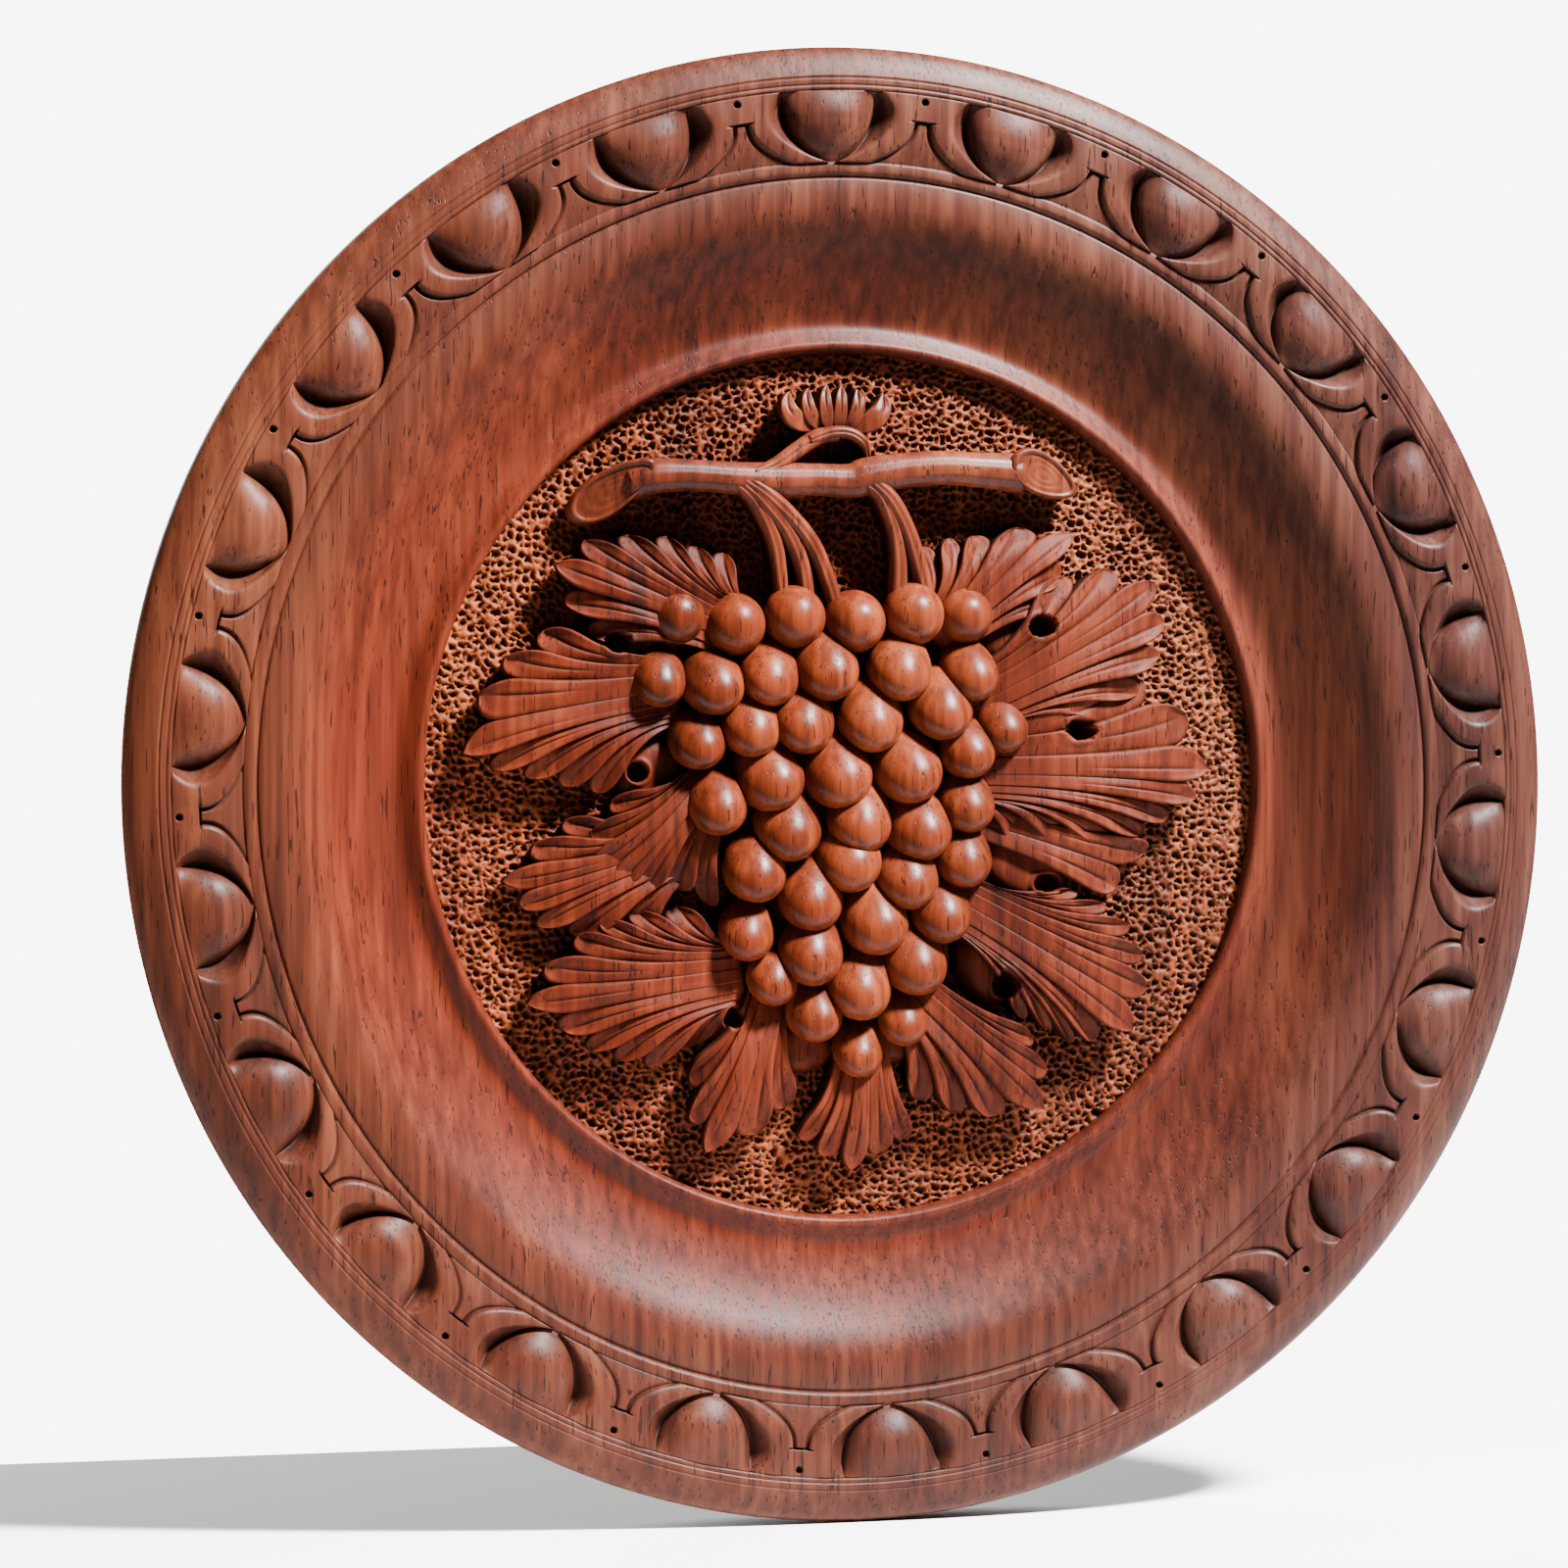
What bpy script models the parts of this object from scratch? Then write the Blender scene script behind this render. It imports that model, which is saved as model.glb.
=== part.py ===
"""Round wall plaque carved from one board: a turned dish with an egg-and-dart rim, and on its sunk
ground a bunch of grapes with vine leaves under a cut branch. Metres, +Z up, the front faces -Y and the
flat back lies on the plane y = 0."""

import math

import bmesh
import bpy
from mathutils import Vector

MM = 0.001

# Turned body: radii, widths and heights above the back in mm
RIM_RADIUS = 190.0
FILLET_HEIGHT = 34.6
OUTER_BAND_WIDTH = 9.0
OUTER_BAND_DROP = 2.0
RIM_ROUND_WIDTH = 3.8
FLANK_TOP_DROP = 5.8
FLANK_FOOT_HEIGHT = 4.0
FLANK_FOOT_SLOPE = 8.2
BACK_MARGIN = 10.5
FILLET_WIDTH = 2.8
FILLET_STEP = 0.8
STEP_SLOPE = 0.7
EGG_BAND_WIDTH = 17.6
EGG_BAND_SWELL = 1.3
BEAD_WIDTH = 4.0
BEAD_RISE = 0.8
SHOULDER_WIDTH = 6.0
SHOULDER_HEIGHT = 31.4
SHOULDER_ROUND = 1.4
GROUND_RADIUS = 111.5
GROUND_HEIGHT = 18.0
LIP_WIDTH = 3.5
LIP_HEIGHT = 23.5
LIP_ROUND = 1.4
COVE_HEIGHT = 19.0
BURIED_HEIGHT = 15.5

FILLET_OUTER = RIM_RADIUS - OUTER_BAND_WIDTH
FILLET_INNER = FILLET_OUTER - FILLET_WIDTH
EGG_BAND_OUTER = FILLET_INNER - STEP_SLOPE
EGG_BAND_INNER = EGG_BAND_OUTER - EGG_BAND_WIDTH
BEAD_GROOVE = EGG_BAND_INNER - BEAD_WIDTH
SHOULDER_OUTER = BEAD_GROOVE - SHOULDER_WIDTH
SHOULDER_INNER = SHOULDER_OUTER - SHOULDER_WIDTH
LIP_RADIUS = GROUND_RADIUS + LIP_WIDTH
LIP_OUTER = LIP_RADIUS + LIP_WIDTH
COVE_WIDTH = SHOULDER_INNER - LIP_OUTER

# Egg-and-dart ring
EGG_COUNT = 22
SEGMENTS_PER_EGG = 2
FIRST_EGG_ANGLE = math.radians(-2.7)
EGG_PITCH = 2 * math.pi * EGG_BAND_OUTER / EGG_COUNT
EGG_HALF_WIDTH = 0.25 * EGG_PITCH
CUP_HALF_WIDTH = 0.335 * EGG_PITCH
CUP_DEPTH = FILLET_HEIGHT - SHOULDER_HEIGHT + BEAD_RISE
CUP_FLOOR_HEIGHT = FILLET_HEIGHT - CUP_DEPTH
CUP_MARGIN = 1.2
EGG_ROOT = 0.5
EGG_CREST_HEIGHT = FILLET_HEIGHT + 1.0
EGG_END_HEIGHT = FILLET_HEIGHT - 0.6
DART_DEPTH = 1.3
DART_LENGTH = 0.62 * EGG_BAND_WIDTH
DART_TIP_WIDTH = 0.9
DART_FOOT_WIDTH = 3.6
CUTTER_TOP = FILLET_HEIGHT + 2.0
EGG_OUTER = EGG_BAND_OUTER - CUP_MARGIN

# Bunch of grapes: the oval that its grapes fill, and each row as its grapes' (x, z, diameter) in mm
BUNCH_CENTRE = (-4.0, -6.0)
BUNCH_HALF_SIZE = (50.0, 68.0)
CORE_MARGIN = 6.5
CORE_HALF_DEPTH = 12.0
GRAPE_SIDES = 7
GRAPE_CENTRE_HEIGHT = 24.0
BUNCH_RISE = 3.6
GRAPE_ROWS = (
    ((-47, 43, 14), (-32, 41, 15), (-16, 43, 15), (0, 42, 15), (16, 44, 15), (30, 44, 14)),
    ((-52, 27, 14), (-38, 26, 15), (-23, 28, 15), (-8, 30, 16), (12, 30, 16), (31, 29, 14)),
    ((-42, 11, 14), (-28, 15, 15), (-14, 16, 16), (4, 17, 16), (23, 20, 16), (40, 15, 12)),
    ((-37, -5, 15), (-23, 2, 17), (-5, 3, 17), (14, 4, 17), (30, 9, 14)),
    ((-18, -11, 16), (1, -9, 16), (17, -11, 16), (30, -5, 14)),
    ((-27, -22, 15), (-12, -29, 16), (-2, -19, 16), (14, -24, 15), (29, -19, 15)),
    ((-29, -38, 14), (-12, -43, 16), (5, -35, 17), (23, -33, 15)),
    ((-22, -50, 13), (-11, -59, 14), (1, -52, 16), (16, -46, 16)),
    ((13, -61, 12), (1, -69, 12)),
)

# Vine leaves: where the fingers meet, then each finger's length in mm and heading in degrees from +X,
# in order round the leaf
LEAF_BASE_HEIGHT = 31.0
LEAF_EDGE_HEIGHT = 25.5
LEAF_GOUGE = 1.3
LEAVES = {
    "top_left": (
        (-38, 41),
        (16, 18, 19, 24, 29, 39, 44, 42, 34),
        (40, 82, 107, 124, 140, 151, 160, 173, 182),
    ),
    "left": ((-55, 24), (30, 37, 43, 50, 44, 37, 32, 29), (150, 167, 182, 199, 208, 218, 231, 246)),
    "lower_left_under": ((-50, -18), (31, 34, 42, 37, 27), (158, 176, 190, 204, 214)),
    "lower_left_over": ((-50, -4), (20, 19, 19, 19), (205, 232, 257, 280)),
    "bottom_left": (
        (-38, -50),
        (20, 26, 32, 36, 43, 48, 40, 36, 31, 27, 17),
        (112, 137, 151, 161, 175, 187, 199, 210, 222, 238, 262),
    ),
    "bottom": ((-26, -62), (21, 29, 35, 28, 23), (217, 234, 249, 273, 295)),
    "bottom_middle": ((3, -70), (27, 28, 30, 26, 25), (233, 247, 265, 283, 300)),
    "bottom_right": ((19, -56), (32, 39, 44, 36, 31, 26), (-18, -28, -41, -59, -73, -92)),
    "lower_right": (
        (33, -33),
        (28, 36, 43, 48, 52, 54, 47, 44, 37, 31),
        (11, 3, -5, -14, -23, -36, -47, -52, -57, -65),
    ),
    "right_under": ((36, -10), (46, 41), (-10, -25)),
    "right": ((38, 4), (47, 56, 60, 57, 50, 45, 38, 29, 23), (32, 15, 0, -8, -16, -23, -33, -43, -65)),
    "upper_right": ((40, 24), (34, 44, 52, 49, 45, 38, 30), (62, 48, 34, 22, 12, -1, -11)),
    "top_right": ((29, 44), (20, 20, 21, 28, 39, 30, 28), (118, 96, 78, 55, 34, 20, 6)),
}

# Cut branch, stems and bud: paths as (x, z, half width, height of the crest) in mm
BRANCH = ((-73, 69, 1.5, 21), (-66, 74, 6.0, 27), (-55, 79, 4.0, 30), (-24, 78, 3.7, 30), (1, 79, 3.8, 30),
          (20, 81, 4.0, 30), (52, 81.5, 4.8, 30), (62, 79, 1.2, 22))
STEMS = (
    ((-31, 77, 2.2, 29), (-25, 70, 2.2, 28), (-20, 58, 2.0, 28), (-19, 46, 2.0, 28)),
    ((-29, 77, 2.2, 29), (-20, 69, 2.2, 28.5), (-12, 58, 2.4, 28), (-8, 46, 2.4, 28)),
    ((4, 77, 2.2, 29), (9, 70, 2.2, 28), (11, 60, 2.2, 28), (11, 48, 2.2, 28)),
    ((6, 77, 2.2, 29), (12, 69, 2.2, 28), (16, 60, 2.4, 28), (19, 48, 2.4, 28)),
)
BUD_STALK = ((-25, 80, 2.0, 28), (-15, 86, 2.2, 27), (-7, 90, 2.4, 27), (2, 90, 1.8, 27), (5, 85, 1.5, 28))
BUD_PETALS = ((-15, 97, 5.0, 40), (-10, 96, 4.5, 15), (-5, 97, 4.5, 0), (1, 97, 6.0, -15))
PETAL_HALF_DEPTH = 6.0

WOOD_COLOUR = (0.30, 0.115, 0.06, 1.0)
WOOD_ROUGHNESS = 0.42


def place(x, z, height):
    """A point on the plaque, from mm across, mm up and mm above the back."""
    return Vector((x * MM, -height * MM, z * MM))


def clear_scene():
    for obj in list(bpy.data.objects):
        bpy.data.objects.remove(obj, do_unlink=True)


def new_collection(name, shown):
    collection = bpy.data.collections.new(name)
    bpy.context.scene.collection.children.link(collection)
    collection.hide_render = not shown
    return collection


def wood_material(name):
    material = bpy.data.materials.new(name)
    material.use_nodes = True
    shader = material.node_tree.nodes["Principled BSDF"]
    shader.inputs["Base Color"].default_value = WOOD_COLOUR
    shader.inputs["Roughness"].default_value = WOOD_ROUGHNESS
    shader.inputs["Metallic"].default_value = 0.0
    return material


def add_mesh(name, points, faces, collection):
    """A closed mesh object with its faces turned outwards."""
    mesh = bpy.data.meshes.new(name)
    mesh.from_pydata(points, [], faces)
    bm = bmesh.new()
    bm.from_mesh(mesh)
    bmesh.ops.triangulate(bm, faces=bm.faces)
    bmesh.ops.recalc_face_normals(bm, faces=bm.faces)
    bm.to_mesh(mesh)
    bm.free()
    obj = bpy.data.objects.new(name, mesh)
    collection.objects.link(obj)
    if collection.hide_render:
        obj.hide_render = True
        obj.display_type = "WIRE"
    return obj


def body_profile():
    """The turned outline as (radius, height), from the middle of the ground round to the back."""
    bead_height = SHOULDER_HEIGHT + BEAD_RISE
    band_height = FILLET_HEIGHT - FILLET_STEP
    return (
        (0.0, GROUND_HEIGHT),
        (GROUND_RADIUS, GROUND_HEIGHT),
        (GROUND_RADIUS + 0.25 * LIP_WIDTH, LIP_HEIGHT - LIP_ROUND),
        (LIP_RADIUS, LIP_HEIGHT),
        (LIP_OUTER, LIP_HEIGHT - LIP_ROUND),
        (LIP_OUTER + 0.32 * COVE_WIDTH, COVE_HEIGHT),
        (LIP_OUTER + 0.78 * COVE_WIDTH, COVE_HEIGHT + 0.4 * (SHOULDER_HEIGHT - COVE_HEIGHT)),
        (SHOULDER_INNER, SHOULDER_HEIGHT - SHOULDER_ROUND),
        (SHOULDER_OUTER, SHOULDER_HEIGHT),
        (BEAD_GROOVE, SHOULDER_HEIGHT - SHOULDER_ROUND),
        (EGG_BAND_INNER - 0.5 * BEAD_WIDTH, bead_height),
        (EGG_BAND_INNER, bead_height),
        (0.5 * (EGG_BAND_INNER + EGG_BAND_OUTER), 0.5 * (bead_height + band_height) + EGG_BAND_SWELL),
        (EGG_BAND_OUTER, band_height),
        (FILLET_INNER, FILLET_HEIGHT),
        (FILLET_OUTER, FILLET_HEIGHT),
        (RIM_RADIUS - RIM_ROUND_WIDTH, FILLET_HEIGHT - OUTER_BAND_DROP),
        (RIM_RADIUS, FILLET_HEIGHT - FLANK_TOP_DROP),
        (RIM_RADIUS - FLANK_FOOT_SLOPE, FLANK_FOOT_HEIGHT),
        (RIM_RADIUS - BACK_MARGIN, 0.0),
        (0.0, 0.0),
    )


def turned_body(collection):
    profile = body_profile()
    mesh = bpy.data.meshes.new("carved_plaque")
    edges = [(i, i + 1) for i in range(len(profile) - 1)]
    mesh.from_pydata([place(r, 0, h) for r, h in profile], edges, [])
    obj = bpy.data.objects.new("carved_plaque", mesh)
    collection.objects.link(obj)
    screw = obj.modifiers.new("Turned", "SCREW")
    screw.axis = "Y"
    screw.steps = EGG_COUNT * SEGMENTS_PER_EGG
    screw.render_steps = screw.steps
    screw.use_merge_vertices = True
    screw.merge_threshold = 0.00005
    screw.use_smooth_shade = False
    return obj


def ring_point(angle, radius, across, height):
    """A point of the egg-and-dart ring. The angle runs clockwise from the top."""
    x = radius * math.sin(angle) + across * math.cos(angle)
    z = radius * math.cos(angle) - across * math.sin(angle)
    return place(x, z, height)


def tongue_widths(half_width, stations):
    """Half widths of a U-shaped outline, from its square outer end to its rounded inner point."""
    return [(s, half_width * math.sqrt(1 - s * s)) for s in stations]


def egg(index, collection):
    """A half-egg dome, square at the fillet and rounded towards the bead."""
    angle = FIRST_EGG_ANGLE + index * 2 * math.pi / EGG_COUNT
    outer = EGG_OUTER + 0.5 * CUP_MARGIN
    depth = outer - EGG_BAND_INNER
    across = (-1.0, -0.6, 0.0, 0.6, 1.0)
    rise = (0.0, 0.75, 1.0, 0.75, 0.0)
    floor = CUP_FLOOR_HEIGHT - EGG_ROOT
    points = []
    stations = tongue_widths(EGG_HALF_WIDTH, (0.0, 0.5))
    for (s, width), crest_height in zip(stations, (EGG_END_HEIGHT, EGG_CREST_HEIGHT)):
        crest = crest_height - floor
        radius = outer - s * depth
        points += [ring_point(angle, radius, width * a, floor + crest * r) for a, r in zip(across, rise)]
    points.append(ring_point(angle, EGG_BAND_INNER + EGG_ROOT, 0.0, floor))
    faces = [(i + 1, i, i + 5, i + 6) for i in range(4)]
    faces += [(i + 1, i, 10) for i in range(5, 9)]
    faces += [(0, 1, 2, 3, 4), (4, 9, 10, 5, 0)]
    return add_mesh(f"egg_{index:02d}", points, faces, collection)


def cup_cutter(index, collection):
    """The gouged hollow round an egg, with sloping sides."""
    angle = FIRST_EGG_ANGLE + index * 2 * math.pi / EGG_COUNT
    depth = EGG_OUTER - EGG_BAND_INNER
    points = []
    for height, widen in ((CUP_FLOOR_HEIGHT, 0.88), (CUTTER_TOP, 1.1)):
        outline = tongue_widths(CUP_HALF_WIDTH * widen, (0.0, 0.66))
        left = [ring_point(angle, EGG_OUTER - s * depth, -w, height) for s, w in outline]
        right = [ring_point(angle, EGG_OUTER - s * depth, w, height) for s, w in reversed(outline)]
        tip = ring_point(angle, EGG_BAND_INNER + CUP_MARGIN * (1.0 - widen), 0.0, height)
        points += left + [tip] + right
    faces = [(i, (i + 1) % 5, (i + 1) % 5 + 5, i + 5) for i in range(5)]
    faces += [tuple(range(5)), tuple(range(9, 4, -1))]
    return add_mesh(f"cup_{index:02d}", points, faces, collection)


def dart_cutter(index, collection):
    """The sunk wedge between two cups, from its notch inwards."""
    angle = FIRST_EGG_ANGLE + (index + 0.5) * 2 * math.pi / EGG_COUNT
    inner = EGG_BAND_INNER + EGG_ROOT
    outer = inner + DART_LENGTH
    slope = (FILLET_HEIGHT - FILLET_STEP - SHOULDER_HEIGHT - BEAD_RISE) / EGG_BAND_WIDTH
    foot_height = SHOULDER_HEIGHT + BEAD_RISE - DART_DEPTH
    tip_height = foot_height + slope * DART_LENGTH
    outline = (
        (outer, -DART_TIP_WIDTH),
        (outer, DART_TIP_WIDTH),
        (inner, DART_FOOT_WIDTH),
        (inner, -DART_FOOT_WIDTH),
    )
    heights = (tip_height, tip_height, foot_height, foot_height)
    points = [ring_point(angle, r, across, h) for (r, across), h in zip(outline, heights)]
    points += [ring_point(angle, r, across, CUTTER_TOP) for r, across in outline]
    faces = [(0, 1, 2, 3), (7, 6, 5, 4), (0, 4, 5, 1), (1, 5, 6, 2), (2, 6, 7, 3), (3, 7, 4, 0)]
    return add_mesh(f"dart_{index:02d}", points, faces, collection)


def bunch_swell(x, z):
    """How far towards the middle of the bunch a place lies, from 0 at its edge to 1."""
    across = (x - BUNCH_CENTRE[0]) / BUNCH_HALF_SIZE[0]
    up = (z - BUNCH_CENTRE[1]) / BUNCH_HALF_SIZE[1]
    return max(0.0, 1.0 - across * across - up * up)


def ball(name, x, z, height, size, collection, turn=0.0):
    """A round or oval lump; size is its (half width, half depth, half height) in mm."""
    bm = bmesh.new()
    bmesh.ops.create_icosphere(bm, subdivisions=2, radius=1.0)
    mesh = bpy.data.meshes.new(name)
    bm.to_mesh(mesh)
    bm.free()
    obj = bpy.data.objects.new(name, mesh)
    obj.location = place(x, z, height)
    obj.rotation_euler = (0.0, turn, 0.0)
    obj.scale = Vector(size) * MM
    obj.hide_render = True
    obj.display_type = "WIRE"
    collection.objects.link(obj)
    return obj


def grape(name, x, z, height, radius, collection):
    """A faceted dome on a post that runs down into the ground."""
    points = [place(x, z, height + radius)]
    levels = [height + radius * math.cos(math.radians(polar)) for polar in (35, 68)] + [BURIED_HEIGHT]
    for ring, (level, share) in enumerate(zip(levels, (0.574, 0.927, 1.0))):
        across = radius * share
        for i in range(GRAPE_SIDES):
            turn = 2 * math.pi * (i + 0.5 * ring) / GRAPE_SIDES
            points.append(place(x + across * math.cos(turn), z + across * math.sin(turn), level))
    around = [(i, (i + 1) % GRAPE_SIDES) for i in range(GRAPE_SIDES)]
    faces = [(0, 1 + i, 1 + j) for i, j in around]
    for start in (1, 1 + GRAPE_SIDES):
        faces += [(start + i, start + GRAPE_SIDES + i, start + j) for i, j in around]
        faces += [(start + j, start + GRAPE_SIDES + i, start + GRAPE_SIDES + j) for i, j in around]
    faces.append(tuple(range(len(points) - GRAPE_SIDES, len(points))))
    return add_mesh(name, points, faces, collection)


def grapes(collection):
    for row, grapes_in_row in enumerate(GRAPE_ROWS):
        for column, (x, z, diameter) in enumerate(grapes_in_row):
            height = GRAPE_CENTRE_HEIGHT + BUNCH_RISE * bunch_swell(x, z)
            grape(f"grape_{row}_{column}", x, z, height, diameter / 2, collection)


def bunch_core(collection):
    """The swelling that the grapes are cut from, which fills the gaps between them."""
    half_width, half_height = (half - CORE_MARGIN for half in BUNCH_HALF_SIZE)
    size = (half_width, CORE_HALF_DEPTH, half_height)
    ball("bunch_core", BUNCH_CENTRE[0], BUNCH_CENTRE[1], GROUND_HEIGHT - 1, size, collection)


def leaf(name, base, lengths, headings, collection):
    """A fan of gouged fingers on one base, as a solid that runs down into the ground."""
    count = len(lengths)
    angles = [math.radians(h) for h in headings]
    gaps = [angles[i + 1] - angles[i] for i in range(count - 1)]
    gaps = [gaps[0]] + gaps + [gaps[-1]]

    def polar(radius, angle):
        return base[0] + radius * math.cos(angle), base[1] + radius * math.sin(angle)

    top = [(base, LEAF_BASE_HEIGHT)]
    outline = []
    faces = []
    notch_first = polar(0.55 * lengths[0], angles[0] - 0.5 * gaps[0])
    outline.append(len(top))
    top.append((notch_first, LEAF_EDGE_HEIGHT + 1.0))
    for i, (length, angle) in enumerate(zip(lengths, angles)):
        before, after = gaps[i], gaps[i + 1]
        beyond = lengths[i + 1] if i + 1 < count else length
        start = outline[-1]
        hollow = len(top)
        top.append((polar(0.72 * length, angle), LEAF_EDGE_HEIGHT + 0.6 - LEAF_GOUGE))
        for radius, turned in ((0.86, -0.36 * before), (1.0, 0.0), (0.86, 0.36 * after)):
            outline.append(len(top))
            top.append((polar(radius * length, angle + turned), LEAF_EDGE_HEIGHT))
        notch = 0.55 if i + 1 == count else 0.70
        outline.append(len(top))
        top.append((polar(notch * min(length, beyond), angle + 0.5 * after), LEAF_EDGE_HEIGHT - 0.5))
        ring = [start] + outline[-4:]
        faces += [(hollow, a, b) for a, b in zip(ring, ring[1:])]
        faces += [(0, start, hollow), (0, hollow, outline[-1])]
    rim = [0] + outline
    points = [place(x, z, h) for (x, z), h in top]
    below = len(points)
    points += [place(*top[i][0], BURIED_HEIGHT) for i in rim]
    lower = [below + i for i in range(len(rim))]
    for i in range(len(rim)):
        j = (i + 1) % len(rim)
        faces.append((rim[i], lower[i], lower[j], rim[j]))
    faces += [(lower[0], a, b) for a, b in zip(lower[1:], lower[2:])]
    return add_mesh(f"leaf_{name}", points, faces, collection)


def strand(name, path, collection):
    """A rounded strand along a path, standing on a narrower web that runs into the ground."""
    section = ((-0.8, None), (-1.0, 0.95), (-0.7, 0.3), (0.0, 0.0), (0.7, 0.3), (1.0, 0.95), (0.8, None))
    points = []
    for i, (x, z, half_width, crest) in enumerate(path):
        before, after = path[max(i - 1, 0)], path[min(i + 1, len(path) - 1)]
        along = Vector((after[0] - before[0], after[1] - before[1])).normalized()
        for side, drop in section:
            height = BURIED_HEIGHT if drop is None else crest - drop * half_width
            across = side * half_width
            points.append(place(x + along.y * across, z - along.x * across, height))
    size = len(section)
    faces = []
    for row in range(0, (len(path) - 1) * size, size):
        for i in range(size):
            j = (i + 1) % size
            faces.append((row + i, row + j, row + size + j, row + size + i))
    faces += [tuple(range(size)), tuple(range(len(points) - 1, len(points) - 1 - size, -1))]
    return add_mesh(name, points, faces, collection)


def bud(collection):
    strand("bud_stalk", BUD_STALK, collection)
    for i, (x, z, half_length, lean) in enumerate(BUD_PETALS):
        size = (0.62 * half_length, PETAL_HALF_DEPTH, 1.25 * half_length)
        ball(f"bud_petal_{i}", x, z, GROUND_HEIGHT + 1, size, collection, math.radians(-lean))


def apply_cuts(body, cutters, carving):
    cut = body.modifiers.new("Egg hollows and darts", "BOOLEAN")
    cut.operation = "DIFFERENCE"
    cut.operand_type = "COLLECTION"
    cut.collection = cutters
    cut.solver = "EXACT"
    join = body.modifiers.new("Carving", "BOOLEAN")
    join.operation = "UNION"
    join.operand_type = "COLLECTION"
    join.collection = carving
    join.solver = "EXACT"


def main():
    clear_scene()
    shown = new_collection("wall_plaque", True)
    cutters = new_collection("cutters", False)
    carving = new_collection("carving", False)
    body = turned_body(shown)
    body.data.materials.append(wood_material("plaque_wood"))
    for index in range(EGG_COUNT):
        cup_cutter(index, cutters)
        dart_cutter(index, cutters)
        egg(index, carving)
    bunch_core(carving)
    grapes(carving)
    for name, (base, lengths, headings) in LEAVES.items():
        leaf(name, base, lengths, headings, carving)
    strand("branch", BRANCH, carving)
    for index, path in enumerate(STEMS):
        strand(f"stem_{index}", path, carving)
    bud(carving)
    apply_cuts(body, cutters, carving)


main()
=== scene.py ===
"""Round wall plaque carved from one board of reddish hardwood: a turned dish with an egg-and-dart rim,
a matted ground, and on it a bunch of grapes with vine leaves under a cut branch. Places are given in
millimetres as (across, up, height above the back) and put into the frame by place()."""

import math

import bpy
import numpy as np
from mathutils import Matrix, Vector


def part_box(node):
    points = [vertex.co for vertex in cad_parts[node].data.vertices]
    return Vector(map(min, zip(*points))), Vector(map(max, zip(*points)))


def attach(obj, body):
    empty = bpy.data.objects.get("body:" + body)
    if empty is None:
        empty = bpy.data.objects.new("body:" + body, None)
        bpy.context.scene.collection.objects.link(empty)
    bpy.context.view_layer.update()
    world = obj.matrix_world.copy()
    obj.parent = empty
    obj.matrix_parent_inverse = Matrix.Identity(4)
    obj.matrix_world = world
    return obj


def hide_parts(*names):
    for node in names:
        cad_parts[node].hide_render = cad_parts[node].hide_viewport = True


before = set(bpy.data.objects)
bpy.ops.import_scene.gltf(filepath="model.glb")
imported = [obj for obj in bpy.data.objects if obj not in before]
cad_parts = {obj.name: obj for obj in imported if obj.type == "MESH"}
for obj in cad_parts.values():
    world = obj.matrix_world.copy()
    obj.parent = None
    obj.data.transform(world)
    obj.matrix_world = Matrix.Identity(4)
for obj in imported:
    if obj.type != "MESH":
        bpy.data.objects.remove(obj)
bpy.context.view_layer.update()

bl_info = {
    "name": "Carved Wall Plaque",
    "version": (1, 0, 0),
    "blender": (4, 5, 0),
    "location": "View3D > Sidebar > Plaque",
    "description": "Builds a round carved wooden wall plaque with grapes and vine leaves",
    "category": "Add Mesh",
}

NODE = "carved_plaque"
BODY = "root"
MM = 0.001

# Turned body: sizes read from the frame, then widths and heights above the back in mm
BOX_LOW, BOX_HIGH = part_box(NODE)
RIM_RADIUS = 0.5 * (BOX_HIGH[0] - BOX_LOW[0]) / MM
FRONT_HEIGHT = (BOX_HIGH[1] - BOX_LOW[1]) / MM
RIM_HEIGHT = FRONT_HEIGHT - 1.8
RIM_STEPS = 264
BAND_OUTER = RIM_RADIUS - 12.0
BAND_INNER = RIM_RADIUS - 30.2
BAND_SEAT = RIM_HEIGHT - 8.0
RIM_LINES = (RIM_RADIUS - 10.6, RIM_RADIUS - 8.7)
FLANK_LEAN = 9.5
BEAD_GROOVE = BAND_INNER - 3.6
SHOULDER_HEIGHT = 31.4
GROUND_RADIUS = 111.6
GROUND_HEIGHT = 18.0
LIP_HEIGHT = 22.8
COVE_HEIGHT = 18.8
BURIED_HEIGHT = 16.0

# Painted shade in the cove, a dark band strongest at the upper right: its radii in mm, heading clockwise
# from the top, and strongest share
COVE_SHADE_RADII = (115.0, 151.0)
COVE_SHADE_HEADING = math.radians(50)
COVE_SHADE_SHARE = 0.8
COVE_SHADE_SOFTNESS = 7.0
# Mauve tint of the rim, partly the wood's own colour and partly a painted cool sheen: its multipliers,
# where it starts in mm and how softly
MAUVE = (0.80, 1.35, 1.75)
MAUVE_START = BEAD_GROOVE - 20.0
MAUVE_SOFTNESS = 16.0

# Egg-and-dart ring
EGG_COUNT = 22
MERGE_DISTANCE = 0.00001
FIRST_EGG_ANGLE = math.radians(-2.7)
EGG_HALF_WIDTH = 12.8
HOLLOW_WIDTH = 4.4
HOLLOW_DEPTH = 4.6
EGG_RISE = 1.4
NOTCH_START = 0.37
NOTCH_END = 0.405
NOTCH_HALF_WIDTH = 1.9
DART_SPREAD = 10.4
DART_SINK = 0.7
DART_CUT_DEPTH = 1.9
DOT_RADIUS = 0.95
DOT_PLACE = 0.095

# Matted ground
PUNCH_SPACING = 2.1
PUNCH_DEPTH = 1.6
PIT_EDGES = (0.05, 0.30)
GRIT_SHARE = 0.9
GROUND_COLUMNS = 1240
GROUND_STEP = 0.53
GROUND_HIDDEN_SIZE = (30.0, 44.0)

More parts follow.
